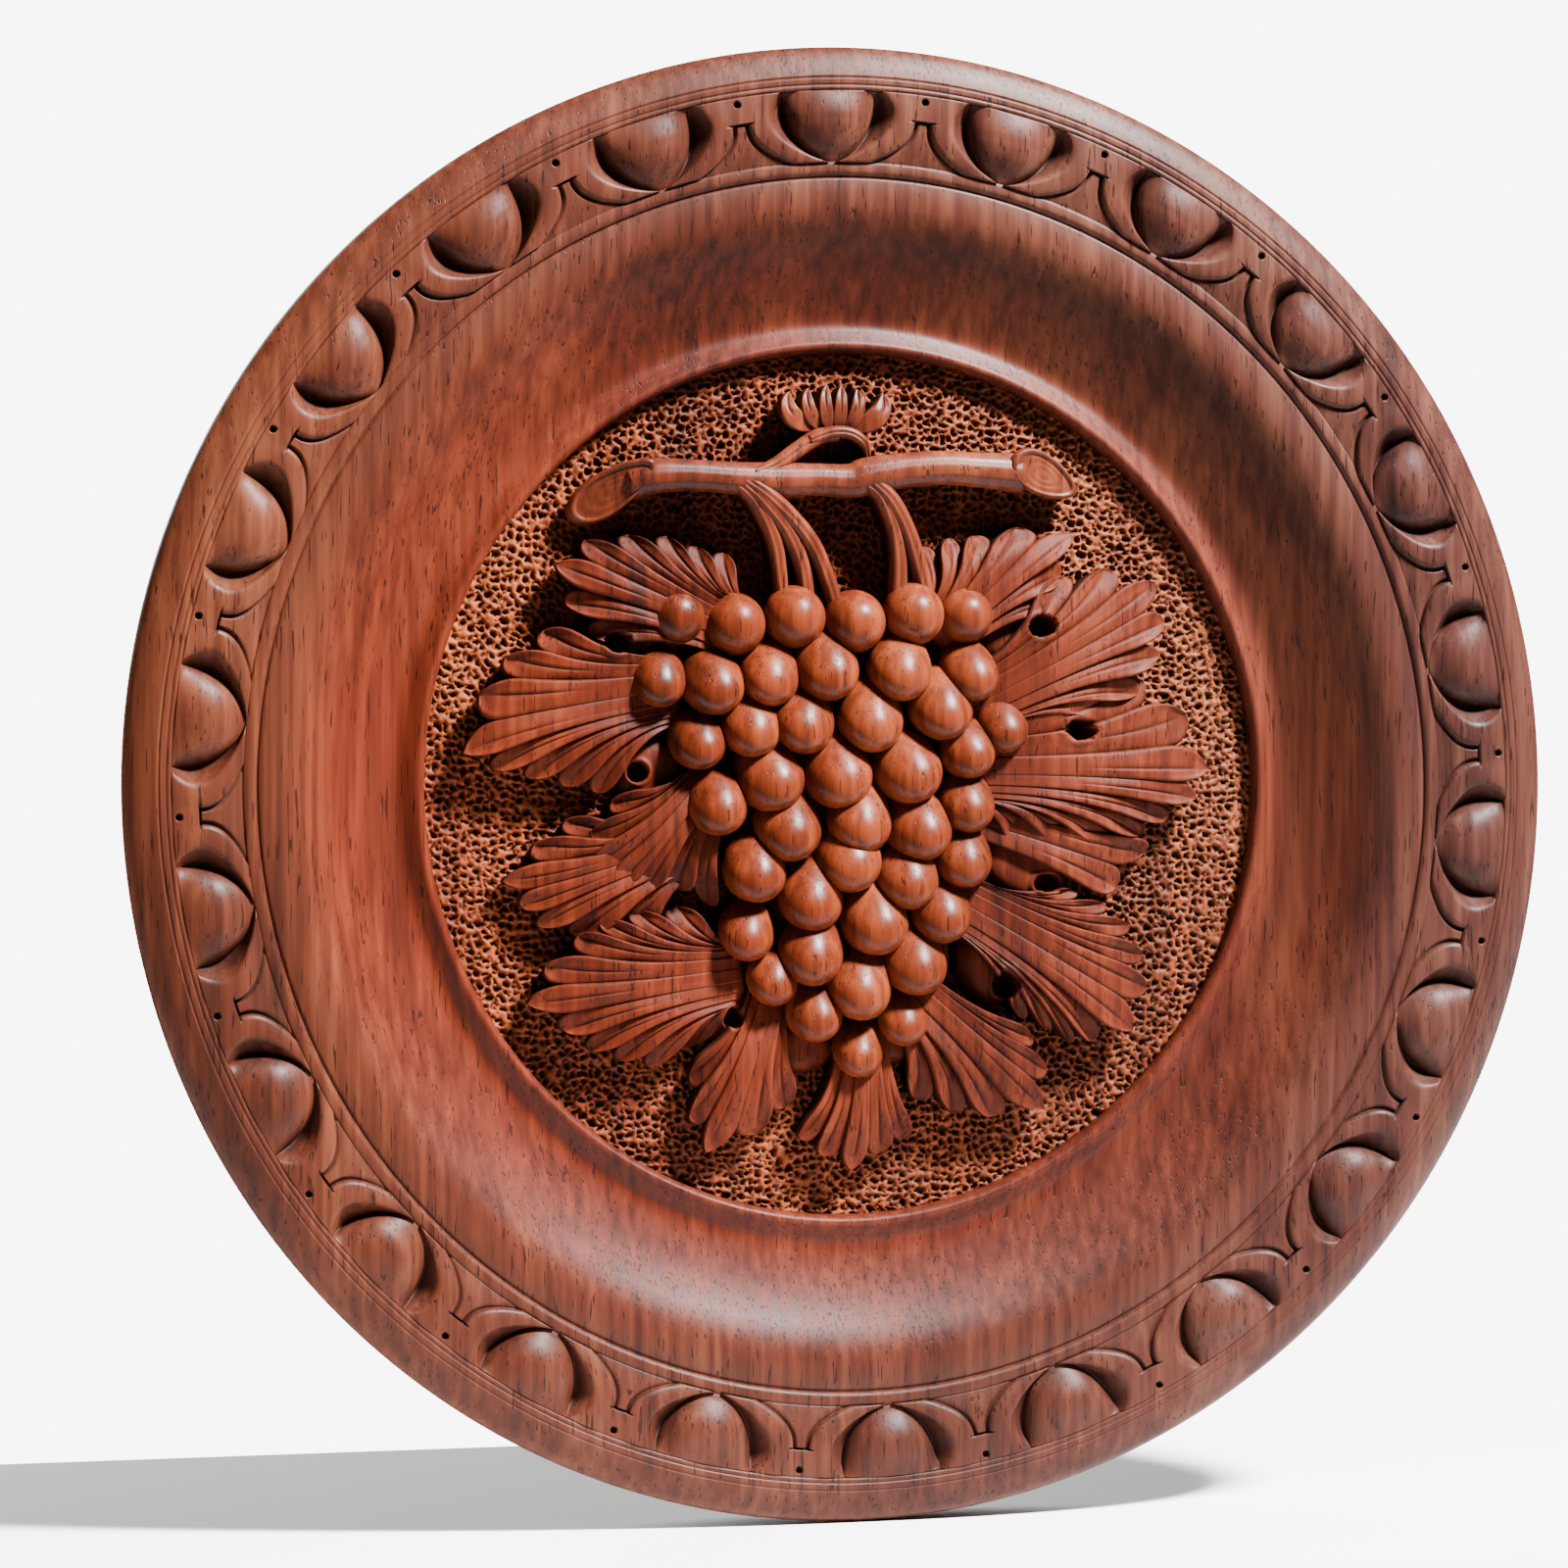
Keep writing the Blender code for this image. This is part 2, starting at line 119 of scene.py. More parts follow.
# Bunch of grapes: each row as its grapes' (x, z, diameter) in mm
BUNCH_CENTRE = (-4.0, -6.0)
BUNCH_HALF_SIZE = (50.0, 68.0)
GRAPE_CENTRE_HEIGHT = 25.4
BUNCH_RISE = 1.6
GRAPE_TILT = 0.42
GRAPE_TURN = 0.35
GRAPE_STRETCH = 1.28
GRAPE_GROWTH = 0.45
ROUND_GRAPE_TILT = 0.1
GRAPE_SEED = 4
GRAPE_RINGS = 22
GRAPE_SEGMENTS = 36
CORE_RISE = 11.0
CORE_STRIP = 9.0
OVAL_STEPS = 72
GRAPE_ROWS = (
    ((-47, 43, 14), (-32, 41, 15.5), (-16, 43, 15.5), (0, 42, 15.5), (16, 44, 15.5), (30, 44, 14)),
    ((-52, 27, 14), (-38, 26, 16), (-23, 28, 15.5), (-8, 30, 16.5), (12, 30, 16.5), (31, 29, 14.5)),
    ((-42, 11, 14), (-28, 15, 15.5), (-14, 16, 16), (4, 17, 17), (23, 20, 16.5), (40, 15, 13)),
    ((-37, -5, 15.5), (-23, 2, 17.5), (-5, 3, 18), (14, 4, 17.5), (30, 9, 14.5)),
    ((-18, -11, 17), (1, -9, 17), (17, -11, 17), (30, -5, 14.5)),
    ((-27, -22, 16), (-12, -29, 17), (-2, -19, 17), (14, -24, 16), (29, -19, 15)),
    ((-29, -38, 14), (-12, -43, 17), (5, -35, 17.5), (23, -33, 15.5)),
    ((-22, -50, 13), (-11, -59, 14), (1, -52, 17), (16, -46, 16.5)),
    ((13, -61, 12.5), (1, -69, 12.5)),
)

# Vine leaves: where the fingers meet, each finger's length in mm and heading in degrees from +X, then
# the leaf's own heading and its lift in mm
LEAVES = {
    "top_left": (
        (-38, 41),
        (19, 20, 25, 31, 39, 43, 38, 31),
        (76, 98, 116, 133, 147, 160, 173, 186),
        158,
        0.9,
    ),
    "left": (
        (-55, 24),
        (30, 37, 43, 50, 44, 37, 32, 29),
        (150, 167, 182, 199, 208, 218, 231, 246),
        188,
        0.4,
    ),
    "lower_left_under": (
        (-50, -18),
        (26, 33, 42, 39, 37, 30, 22),
        (160, 175, 189, 200, 210, 225, 250),
        198,
        -2.0,
    ),
    "lower_left_over": (
        (-44, -5),
        (19, 26, 30, 27, 25, 22, 27),
        (178, 196, 212, 229, 244, 265, 284),
        228,
        0.6,
    ),
    "bottom_left": (
        (-38, -50),
        (20, 26, 32, 36, 43, 48, 40, 36, 31, 27, 17),
        (112, 137, 151, 161, 175, 187, 199, 210, 222, 238, 262),
        187,
        0.3,
    ),
    "bottom": ((-26, -62), (21, 29, 35, 28, 23), (217, 234, 249, 273, 295), 248, -0.4),
    "bottom_middle": ((3, -70), (27, 28, 30, 26, 25), (233, 247, 265, 283, 300), 268, -0.6),
    "bottom_right": ((19, -56), (32, 39, 44, 36, 31, 26), (-18, -28, -41, -59, -73, -92), -43, 0.2),
    "lower_right": (
        (33, -33),
        (28, 36, 43, 48, 52, 54, 47, 44, 37, 31),
        (11, 3, -5, -14, -23, -36, -47, -52, -57, -65),
        -30,
        0.8,
    ),
    "right_under": ((36, -10), (46, 41), (-10, -25), -16, -2.4),
    "right": (
        (38, 4),
        (47, 56, 60, 57, 50, 45, 38, 29, 23),
        (32, 15, 0, -8, -16, -23, -33, -43, -65),
        0,
        0.2,
    ),
    "upper_right": ((40, 24), (34, 44, 52, 49, 45, 38, 30), (62, 48, 34, 22, 12, -1, -11), 28, 1.2),
    "top_right": ((29, 44), (20, 20, 21, 28, 39, 30, 28), (118, 96, 78, 55, 34, 20, 6), 46, -0.2),
}
# Drilled holes between the leaves, as (x, z, half width, half height)
LEAF_HOLES = (
    (-63, 36, 2.9, 2.4),
    (-57, 3, 2.4, 2.4),
    (-32, -60, 2.2, 2.4),
    (50, 41, 3.2, 2.5),
    (61, 14, 3.2, 2.5),
    (53, -26, 3.2, 2.2),
    (41, -52, 2.6, 3.2),
)
LEAF_HOLE_FLOOR = 17.0
# Webs of wood that join the leaves, as (x, z, half length, half width, heading, crest height)
LEAF_WEBS = {
    "leaves_left": (
        (-56, 33, 14, 8, 10, 25.0),
        (-53, 3, 10, 9, 60, 24.6),
        (-34, -57, 10, 7, 60, 24.4),
    ),
    "leaves_bottom": ((-13, -68, 10, 7, 0, 23.8), (13, -66, 10, 7, 10, 24.0)),
    "leaves_right": (
        (45, 39, 13, 7, 20, 25.0),
        (54, 12, 15, 8, 5, 25.2),
        (47, -22, 14, 9, -25, 24.6),
        (37, -48, 11, 8, -60, 24.4),
    ),
}
LEAF_ROOT_SETBACK = 9.0
LEAF_ROOT_SPREAD = 0.38
LEAF_BEND = 0.66
LEAF_NOTCH = 0.75
LEAF_FALL = 2.2
LEAF_SHIFT = -0.4
LEAF_ROOT_HEIGHT = 24.0
LEAF_TIP_HEIGHT = 24.5
LEAF_ARCH = 4.6
FINGER_GOUGE = 1.35
FINGER_TILT = 1.15
FINGER_THICKNESS = 2.4
FINGER_STEPS = 40
FINGER_OVERLAP = 1.08
OUTER_FINGER_SHARE = 0.8

# Branch, stems and bud: paths as (x, z, half width, height of the crest) in mm
BRANCH = (
    (-60, 77.0, 4.8, 28.5), (-54, 78.6, 4.7, 30), (-44, 79, 4.1, 30.2), (-32, 78.4, 4.2, 30.2),
    (-22, 78, 4.7, 30), (-10, 78.4, 4.2, 30), (-1, 78.2, 4.5, 30.1), (4, 79.6, 4.9, 30.6),
    (14, 81.2, 4.6, 30.6), (24, 82, 4.4, 30.6), (34, 81.6, 4.6, 30.4), (46, 81, 5.3, 29.5),
)
BRANCH_CREASES = ((-0.62, 0.45), (-0.2, 0.35), (0.3, 0.5), (0.72, 0.4))
STEM_CREASES = ((0.0, 0.5),)
CREASE_WIDTH = 0.14
BRANCH_STEPS = 90
STEM_STEPS = 44
CURL_STEPS = 40
STRAND_COLUMNS = 21
STRAND_SPAN = math.radians(118)
CUT_END_RINGS = 26
RING_RELIEF = 0.06
STEMS = (
    ((-33, 78, 1.6, 29.6), (-27, 73, 2.2, 29.4), (-22, 64, 2.2, 28.6),
     (-20, 55, 2.0, 28), (-19, 44, 2.0, 27)),
    ((-31, 78, 1.6, 29.8), (-25, 73, 2.0, 29.8), (-18, 65, 2.2, 29),
     (-14, 56, 2.2, 28.4), (-12, 44, 2.2, 27)),
    ((-30, 78.5, 1.6, 30), (-22, 73, 2.2, 30), (-13, 64, 2.2, 29.4),
     (-8, 55, 2.2, 28.4), (-4, 44, 2.2, 27)),
    ((2, 78, 1.6, 29.8), (7, 74, 2.0, 29.6), (10.5, 66, 2.0, 28.8),
     (12, 57, 2.4, 28), (12, 46, 2.6, 27)),
    ((4, 78.5, 1.6, 30), (9.5, 73.5, 2.2, 30), (14, 66, 2.2, 29.2),
     (17, 58, 2.4, 28.2), (20, 48, 2.4, 27)),
)
# Sawn ends as (x, z, half length, half width, heading, height of the middle, slope)
CUT_ENDS = (
    (-64.0, 75.0, 13.0, 5.4, 35, 26.0, 3.6),
    (51.5, 80.4, 10.6, 5.4, -24, 27.2, -2.4),
)
BUD_STALK = (
    (-27, 79.5, 1.6, 29.6), (-21, 82, 2.0, 28.6), (-15, 86, 2.2, 28), (-9, 89.6, 2.2, 27.6),
    (-4, 90, 1.6, 27.4),
)
BUD_CURL = (
    (-12, 88.5, 1.4, 28), (-6, 90.6, 1.6, 28), (-1, 90.4, 1.6, 28), (2.6, 88, 1.4, 28),
    (3.8, 84.6, 0.8, 27),
)
BUD_HEIGHT = 25.5
PETAL_STEPS = 26
# Petals as (root, control, tip, half width)
BUD_PETALS = (
    ((-11, 92), (-20, 94), (-17, 101), 2.6),
    ((-9, 92), (-14, 96), (-12, 102), 2.0),
    ((-6, 91), (-9, 97), (-7, 103), 1.9),
    ((-4, 91), (-4, 97), (-3, 103), 1.9),
    ((-2, 91), (2, 97), (1, 102), 2.0),
    ((0, 92), (9, 94), (8, 101), 2.8),
)

# Woods of the regions: what the tones are multiplied by, roughness, shine and strength of the pores
WOODS = {
    "rim_wood": ((1.0, 1.0, 1.0), 0.42, 0.07, 1.0),
    "band_wood": ((1.0, 1.0, 1.0), 0.42, 0.07, 1.0),
    "ground_wood": ((2.3, 2.9, 2.1), 0.5, 0.07, 0.0),
    "grape_wood": ((1.45, 1.5, 1.1), 0.33, 0.075, 0.9),
    # The mound behind the grapes is made much darker: painted shade in the gaps between them
    "core_shade_wood": ((0.4, 0.35, 0.35), 0.6, 0.07, 1.0),
    "leaf_wood": ((1.18, 1.15, 1.0), 0.5, 0.05, 1.0),
    "branch_wood": ((1.3, 1.5, 1.35), 0.38, 0.1, 1.0),
}
TONE_STOPS = (0.33, 0.50, 0.68)
# Tint of the painted shade in the cove
COVE_SHADE_TINT = (0.30, 0.42, 0.34)
# Tints of painted light and shade by side: warmer and lighter at the left, darker and mauve at the right
LIT_LEFT_TINT = (1.18, 0.98, 0.80)
SHADED_RIGHT_TINT = (0.80, 0.92, 1.15)

# How tightly each pattern of the wood is packed across and up the grain, per metre
FIGURE_STRETCH = (26, 4)
STREAK_STRETCH = (420, 16)
PORE_STRETCH = (1500, 95)
PORE_PATCH_STRETCH = (120, 40)

# Lamps as (name, place in m, size in m, power in W)
LAMPS = (
    ("key", (0.68, -0.76, 1.18), 0.24, 300.0),
    ("back_fill", (-0.7, 1.2, 0.8), 0.9, 40.0),
)
AMBIENT_STRENGTH = 0.02
BACKDROP_STRENGTH = 8.0
FLOOR_BEHIND = 140.0
FLOOR_REACH = 2500.0
FLOOR_ROUGHNESS = 0.8
FLOOR_TONE = 0.88
FLOOR_FAR_TONE = 0.10
FLOOR_FADE = (-0.11, -0.28)

# Camera, from the photograph's view
VIEW_YAW = math.radians(-16.3)
VIEW_DISTANCE = 1.3
VIEW_AIM_HEIGHT = 34.0
VIEW_FOCAL_PIXELS = 5168.0
VIEW_CENTRE_PIXEL = (880.0, 800.0)
FRAME_PIXELS = 1600.0
SENSOR_MM = 36.0


def place(points):
    """Rows of (across, up, height above the back) in mm as places in the frame in metres."""
    rows = np.asarray(points, float)
    return np.column_stack((rows[:, 0], -rows[:, 2], rows[:, 1])) * MM


def add_object(name, points, faces, attributes=None, smooth=True):
    """A mesh object from mm rows and faces, with its faces turned outwards."""
    mesh = bpy.data.meshes.new(name)
    mesh.from_pydata(place(points).tolist(), [], faces)
    mesh.update()
    for key, values in (attributes or {}).items():
        layer = mesh.attributes.new(key, "FLOAT", "POINT")
        layer.data.foreach_set("value", np.asarray(values, np.float32))
    if smooth:
        mesh.polygons.foreach_set("use_smooth", [True] * len(mesh.polygons))
    obj = bpy.data.objects.new(name, mesh)
    bpy.context.scene.collection.objects.link(obj)
    return obj


def finish_piece(obj, material):
    """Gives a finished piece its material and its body."""
    obj.data.materials.clear()
    obj.data.materials.append(material)
    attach(obj, BODY)
    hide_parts(NODE)


def grid_faces(rows, columns, wrap_rows=False, wrap_columns=False, flip=False):
    """Quads of a grid whose points are stored row by row."""
    row = np.arange(rows if wrap_rows else rows - 1)
    column = np.arange(columns if wrap_columns else columns - 1)
    a = row[:, None] * columns + column[None, :]
    b = row[:, None] * columns + (column[None, :] + 1) % columns
    c = ((row[:, None] + 1) % rows) * columns + (column[None, :] + 1) % columns
    d = ((row[:, None] + 1) % rows) * columns + column[None, :]
    order = (a, d, c, b) if flip else (a, b, c, d)
    return np.stack(order, -1).reshape(-1, 4).tolist()


def smooth_path(points, count):
    """A smooth curve through rows of values, as evenly numbered rows."""
    rows = np.asarray(points, float)
    padded = np.vstack((2 * rows[0] - rows[1], rows, 2 * rows[-1] - rows[-2]))
    at = np.linspace(0, len(rows) - 1, count)
    index = np.minimum(at.astype(int), len(rows) - 2)
    t = (at - index)[:, None]
    p0, p1, p2, p3 = (padded[index + k] for k in range(4))
    square, cube = 2 * p0 - 5 * p1 + 4 * p2 - p3, 3 * p1 - p0 - 3 * p2 + p3
    return 0.5 * (2 * p1 + (p2 - p0) * t + square * t**2 + cube * t**3)


def axes(heading):
    """Directions along a heading in degrees from +X, and square to it."""
    angle = math.radians(heading)
    along = np.array((math.cos(angle), math.sin(angle)))
    return along, np.array((-along[1], along[0]))


def path_sides(path):
    """Directions square to a path at each of its points."""
    along = np.gradient(path, axis=0)
    along /= np.linalg.norm(along, axis=1)[:, None]
    return np.column_stack((-along[:, 1], along[:, 0]))


def rounded_corners(corners, steps=5):
    """An outline of (radius, height, rounding) corners with each corner rounded off."""
    rows = np.asarray(corners, float)
    outline = [rows[0, :2]]
    for before, here, after in zip(rows, rows[1:], rows[2:]):
        reach = here[2]
        to_before, to_after = before[:2] - here[:2], after[:2] - here[:2]
        if reach <= 0:
            outline.append(here[:2])
            continue
        start = here[:2] + to_before * min(0.48, reach / np.linalg.norm(to_before))
        end = here[:2] + to_after * min(0.48, reach / np.linalg.norm(to_after))
        for t in np.linspace(0, 1, steps):
            outline.append((1 - t) ** 2 * start + 2 * t * (1 - t) * here[:2] + t**2 * end)
    outline.append(rows[-1, :2])
    return np.array(outline)


def turned(name, outline, steps):
    """A closed turned form from an outline that starts and ends on the axis."""
    radii, heights = outline[1:-1, 0], outline[1:-1, 1]
    angles = np.arange(steps) * 2 * math.pi / steps
    across = np.sin(angles)[:, None] * radii
    up = np.cos(angles)[:, None] * radii
    level = np.broadcast_to(heights, across.shape)
    points = np.stack((across, up, level), -1).reshape(-1, 3)
    size = len(radii)
    faces = grid_faces(steps, size, wrap_rows=True)
    front, back = len(points), len(points) + 1
    points = np.vstack((points, (0, 0, outline[0, 1]), (0, 0, outline[-1, 1])))
    for i in range(steps):
        j = (i + 1) % steps
        faces.append([front, i * size, j * size][::-1])
        faces.append([back, i * size + size - 1, j * size + size - 1])
    # Stores on the points the share of painted shade in the cove and of the mauve tint, which is partly
    # a painted sheen
    return add_object(name, points, faces, {"cove_shade": cove_shade(points), "mauve": mauve(points)})


def cove_shade(points):
    """Share of painted shade: a dark band in the cove that is widest at the upper right."""
    radius = np.hypot(points[:, 0], points[:, 1])
    turn = np.arctan2(points[:, 0], points[:, 1]) - COVE_SHADE_HEADING
    inner, outer = COVE_SHADE_RADII
    inside = np.clip((radius - inner) / COVE_SHADE_SOFTNESS, 0, 1)
    inside = inside * np.clip((outer - radius) / COVE_SHADE_SOFTNESS, 0, 1)
    front = points[:, 2] > COVE_HEIGHT - 1
    return COVE_SHADE_SHARE * inside * front * np.clip(0.55 + 0.45 * np.cos(turn), 0, 1) ** 1.5


def mauve(points):
    """Share of the rim's greyer, mauve tint, from the shoulder outwards: partly the wood's own colour,
    partly a painted cool sheen.
    """
    return np.clip((np.hypot(points[:, 0], points[:, 1]) - MAUVE_START) / MAUVE_SOFTNESS, 0, 1)


# Turned body

def body_outline():
    """The dish from the middle of its ground, over lip, cove, bead and fillet, to the flat back."""
    return rounded_corners((
        (0, BURIED_HEIGHT, 0),
        (GROUND_RADIUS, BURIED_HEIGHT, 0),
        (GROUND_RADIUS + 0.2, LIP_HEIGHT - 1.4, 0.9),
        (GROUND_RADIUS + 1.8, LIP_HEIGHT + 0.3, 1.5),
        (GROUND_RADIUS + 4.2, LIP_HEIGHT - 1.2, 1.6),
        (GROUND_RADIUS + 7.5, COVE_HEIGHT + 1.0, 2.5),
        (GROUND_RADIUS + 14.0, COVE_HEIGHT + 2.6, 6.0),
        (GROUND_RADIUS + 23.0, COVE_HEIGHT + 6.2, 8.0),
        (BEAD_GROOVE - 11.5, SHOULDER_HEIGHT - 0.6, 5.5),
        (BEAD_GROOVE - 4.5, SHOULDER_HEIGHT + 0.2, 3.5),
        (BEAD_GROOVE - 0.6, SHOULDER_HEIGHT - 0.3, 0.5),
        (BEAD_GROOVE, SHOULDER_HEIGHT - 0.9, 0.2),
        (BEAD_GROOVE + 0.4, SHOULDER_HEIGHT - 0.1, 0.3),
        (BEAD_GROOVE + 1.2, SHOULDER_HEIGHT + 0.5, 0.6),
        (BEAD_GROOVE + 2.6, SHOULDER_HEIGHT + 0.5, 0.5),
        (BAND_INNER + 0.2, SHOULDER_HEIGHT + 0.3, 0),
        (BAND_INNER + 0.4, BAND_SEAT, 0),
        (BAND_OUTER, BAND_SEAT, 0),
        (BAND_OUTER + 0.1, RIM_HEIGHT - 0.1, 0),
        (RIM_LINES[0] - 0.4, RIM_HEIGHT, 0),
        (RIM_LINES[0], RIM_HEIGHT - 0.3, 0.1),
        (RIM_LINES[0] + 0.4, RIM_HEIGHT, 0.2),
        (RIM_LINES[1] - 0.4, RIM_HEIGHT, 0.2),
        (RIM_LINES[1], RIM_HEIGHT - 0.35, 0.1),
        (RIM_LINES[1] + 0.5, RIM_HEIGHT - 0.1, 0.2),
        (RIM_RADIUS - 4.6, RIM_HEIGHT - 1.3, 3.8),
        (RIM_RADIUS - 0.9, RIM_HEIGHT - 3.4, 2.4),
        (RIM_RADIUS, RIM_HEIGHT - 6.0, 2.4),
        (RIM_RADIUS - FLANK_LEAN, 2.0, 6.0),
        (RIM_RADIUS - FLANK_LEAN - 2.5, 0.0, 0.8),
        (0, 0, 0),
    ))


# Egg-and-dart ring

def band_height(s):
    """The quarter-round that the eggs are cut in, from the fillet (s = 0) to the bead (s = 1)."""
    return RIM_HEIGHT - 0.1 + 1.6 * s - 3.4 * s**2.2


def egg_edge(s):
    """Half the egg's width at s, which narrows to a point at the bead."""
    return EGG_HALF_WIDTH * np.clip(1 - s**2.2, 0.012, 1) ** 0.62


def unit_columns():
    """Places across half a unit, as (stretch, share) from the egg's middle to the dart's middle."""
    shares = (
        ("egg", np.sin(np.linspace(0, 0.5 * math.pi, 15))[:-1]),
        ("hollow", np.linspace(0, 1, 7)[:-1]),
        ("rib", np.linspace(0, 1, 6)[:-1]),
        ("cut_wall", np.linspace(0, 1, 4)[:-1]),
        ("cut_slope", np.linspace(0, 1, 4)[:-1]),
        ("dart", np.linspace(0, 1, 6)),
    )
    return [(name, share) for name, stretch in shares for share in stretch]


def unit_row(s, columns):
    """Offsets from the egg's middle, heights and hollowness across half a unit at one station."""
    radius = BAND_OUTER - s * (BAND_OUTER - BAND_INNER)
    half_pitch = math.pi * radius / EGG_COUNT
    spread = max(0.0, (s - NOTCH_START) / (1 - NOTCH_START))
    cut_here = 1.0 if s >= NOTCH_START + 0.004 else 0.0
    edge = float(egg_edge(s))
    rib_start = edge + 1.1 * (1 - s) + HOLLOW_WIDTH * math.sin(math.pi * s**0.85)
    cut_middle = NOTCH_HALF_WIDTH + DART_SPREAD * spread**2.6
    cut_width = 1.3 + 1.2 * spread
    stops = {
        "egg": (0.0, edge),
        "hollow": (edge, rib_start),
        "rib": (rib_start, half_pitch - cut_middle - 0.3 * cut_width),
        "cut_wall": (half_pitch - cut_middle - 0.3 * cut_width, half_pitch - cut_middle),
        "cut_slope": (half_pitch - cut_middle, half_pitch - max(0.6, cut_middle - 0.7 * cut_width)),
        "dart": (half_pitch - max(0.6, cut_middle - 0.7 * cut_width), half_pitch),
    }
    surface = float(band_height(s))
    depth = 1.0 + HOLLOW_DEPTH * math.sin(math.pi * s**0.8) ** 0.9
    rounded = math.sqrt(max(0.0, 1 - s**5))
    cut = DART_CUT_DEPTH * cut_here * (1 - 0.45 * spread)
    in_notch = NOTCH_START <= s <= NOTCH_END
    sink = DART_SINK * cut_here
    offsets, heights, hollowness = [], [], []
    for name, share in columns:
        start, end = stops[name]
        offset = start + share * (end - start)
        from_dart = half_pitch - offset
        drop = 0.0
        if name == "egg":
            swell = 0.2 + EGG_RISE * math.sin(math.pi * min(1.0, s / 0.9))
            crest = min(swell, FRONT_HEIGHT - 0.2 - surface)
            drop = depth - (depth + crest) * max(0.0, 1 - share**2.1) ** 0.5 * rounded
        elif name == "hollow":
            drop = depth * (1 - share) ** 1.05
        elif name == "rib":
            drop = -0.2 * math.sin(math.pi * share)
        elif name == "cut_wall":
            drop = cut * share
        elif name == "cut_slope":
            drop = cut + (sink - cut) * share
        elif name == "dart":
            drop = sink
        # Darker the deeper the cut, and fully dark in the notches and drilled dots: painted shade in the
        # recesses, with some dark stain
        dark = 0.7 * min(1.0, max(0.0, drop) / 4.5) ** 1.3
        if name in ("cut_wall", "cut_slope"):
            dark = cut_here * min(1.0, max(0.0, drop - sink) / 0.9)
        if in_notch and from_dart < NOTCH_HALF_WIDTH + 0.4:
            drop, dark = max(drop, 1.7), 1.0
        distance = math.hypot(from_dart, (s - DOT_PLACE) * (BAND_OUTER - BAND_INNER))
        if distance < DOT_RADIUS:
            drop, dark = 2.0 * (1 - (distance / DOT_RADIUS) ** 4), 1.0
        offsets.append(offset)
        heights.append(surface - drop)
        hollowness.append(dark)
    return radius, offsets, heights, hollowness


def egg_unit():
    """One egg with its hollows and half a dart on each side, open at its two ends."""
    columns = unit_columns()
    stations = np.unique(np.concatenate((
        np.linspace(0, 1, 40),
        (NOTCH_START - 0.004, NOTCH_START + 0.006, NOTCH_END - 0.004, NOTCH_END + 0.004),
        np.linspace(0.02, 0.17, 8),
    )))
    points, dark = [], []
    for s in stations:
        radius, offsets, heights, hollowness = unit_row(float(s), columns)
        whole = [-v for v in offsets[:0:-1]] + offsets
        level = heights[:0:-1] + heights
        shade = hollowness[:0:-1] + hollowness
        for offset, height in zip(whole, level):
            angle = offset / radius
            points.append((radius * math.sin(angle), radius * math.cos(angle), height))
        dark += shade
    width = 2 * len(columns) - 1
    for row in (len(stations) - 1, 0):
        for column in range(width):
            x, z, _ = points[row * width + column]
            points.append((x, z, BAND_SEAT - 1.0))
        dark += [0.0] * width
    faces = grid_faces(len(stations) + 2, width, wrap_rows=True)
    # The whole band takes the mauve tint, partly a painted sheen
    return add_object("egg_unit", points, faces, {"hollow": dark, "mauve": [1.0] * len(points)})


def link_nodes(tree, *pairs):
    for source, target in pairs:
        tree.links.new(source, target)


def pass_on(tree, *nodes):
    """Links the first output of each node to the first input of the next."""
    for before, after in zip(nodes, nodes[1:]):
        tree.links.new(before.outputs[0], after.inputs[0])


def node_maker(tree):
    """A function that adds a node of a kind, with its operation and its inputs' values."""
    def node(kind, operation=None, values=None):
        made = tree.nodes.new(kind)
        if operation:
            made.operation = operation
        for socket, value in (values or {}).items():
            made.inputs[socket].default_value = value
        return made

    return node


def new_tree(name, *sizes):
    """A Geometry Nodes tree with geometry in and out and named sizes, and its node maker."""
    tree = bpy.data.node_groups.new(name, "GeometryNodeTree")
    tree.interface.new_socket("Geometry", in_out="INPUT", socket_type="NodeSocketGeometry")
    for label, kind, value in sizes:
        socket = tree.interface.new_socket(label, in_out="INPUT", socket_type="NodeSocket" + kind)
        socket.default_value = value
    tree.interface.new_socket("Geometry", in_out="OUTPUT", socket_type="NodeSocketGeometry")
    node = node_maker(tree)
    return tree, node, node("NodeGroupInput"), node("NodeGroupOutput")


def repeat_tree(material):
    """Geometry Nodes: the unit repeated round the rim, made one closed ring."""
    tree, node, group_in, group_out = new_tree(
        "Repeat Round Rim", ("Count", "Int", EGG_COUNT), ("First Angle", "Float", FIRST_EGG_ANGLE)
    )
    points = node("GeometryNodePoints")
    index = node("GeometryNodeInputIndex")
    pitch = node("ShaderNodeMath", "DIVIDE", {0: 2 * math.pi})
    turn = node("ShaderNodeMath", "MULTIPLY_ADD")
    rotation = node("ShaderNodeCombineXYZ")
    instance = node("GeometryNodeInstanceOnPoints")
    realize = node("GeometryNodeRealizeInstances")
    merge = node("GeometryNodeMergeByDistance", values={"Distance": MERGE_DISTANCE})
    paint = node("GeometryNodeSetMaterial", values={"Material": material})
    link_nodes(
        tree,
        (group_in.outputs["Count"], points.inputs["Count"]),
        (group_in.outputs["Count"], pitch.inputs[1]),
        (index.outputs["Index"], turn.inputs[0]),
        (pitch.outputs[0], turn.inputs[1]),
        (group_in.outputs["First Angle"], turn.inputs[2]),
        (turn.outputs[0], rotation.inputs["Y"]),
        (points.outputs["Points"], instance.inputs["Points"]),
        (group_in.outputs["Geometry"], instance.inputs["Instance"]),
        (rotation.outputs["Vector"], instance.inputs["Rotation"]),
    )
    pass_on(tree, instance, realize, merge, paint, group_out)
    return tree


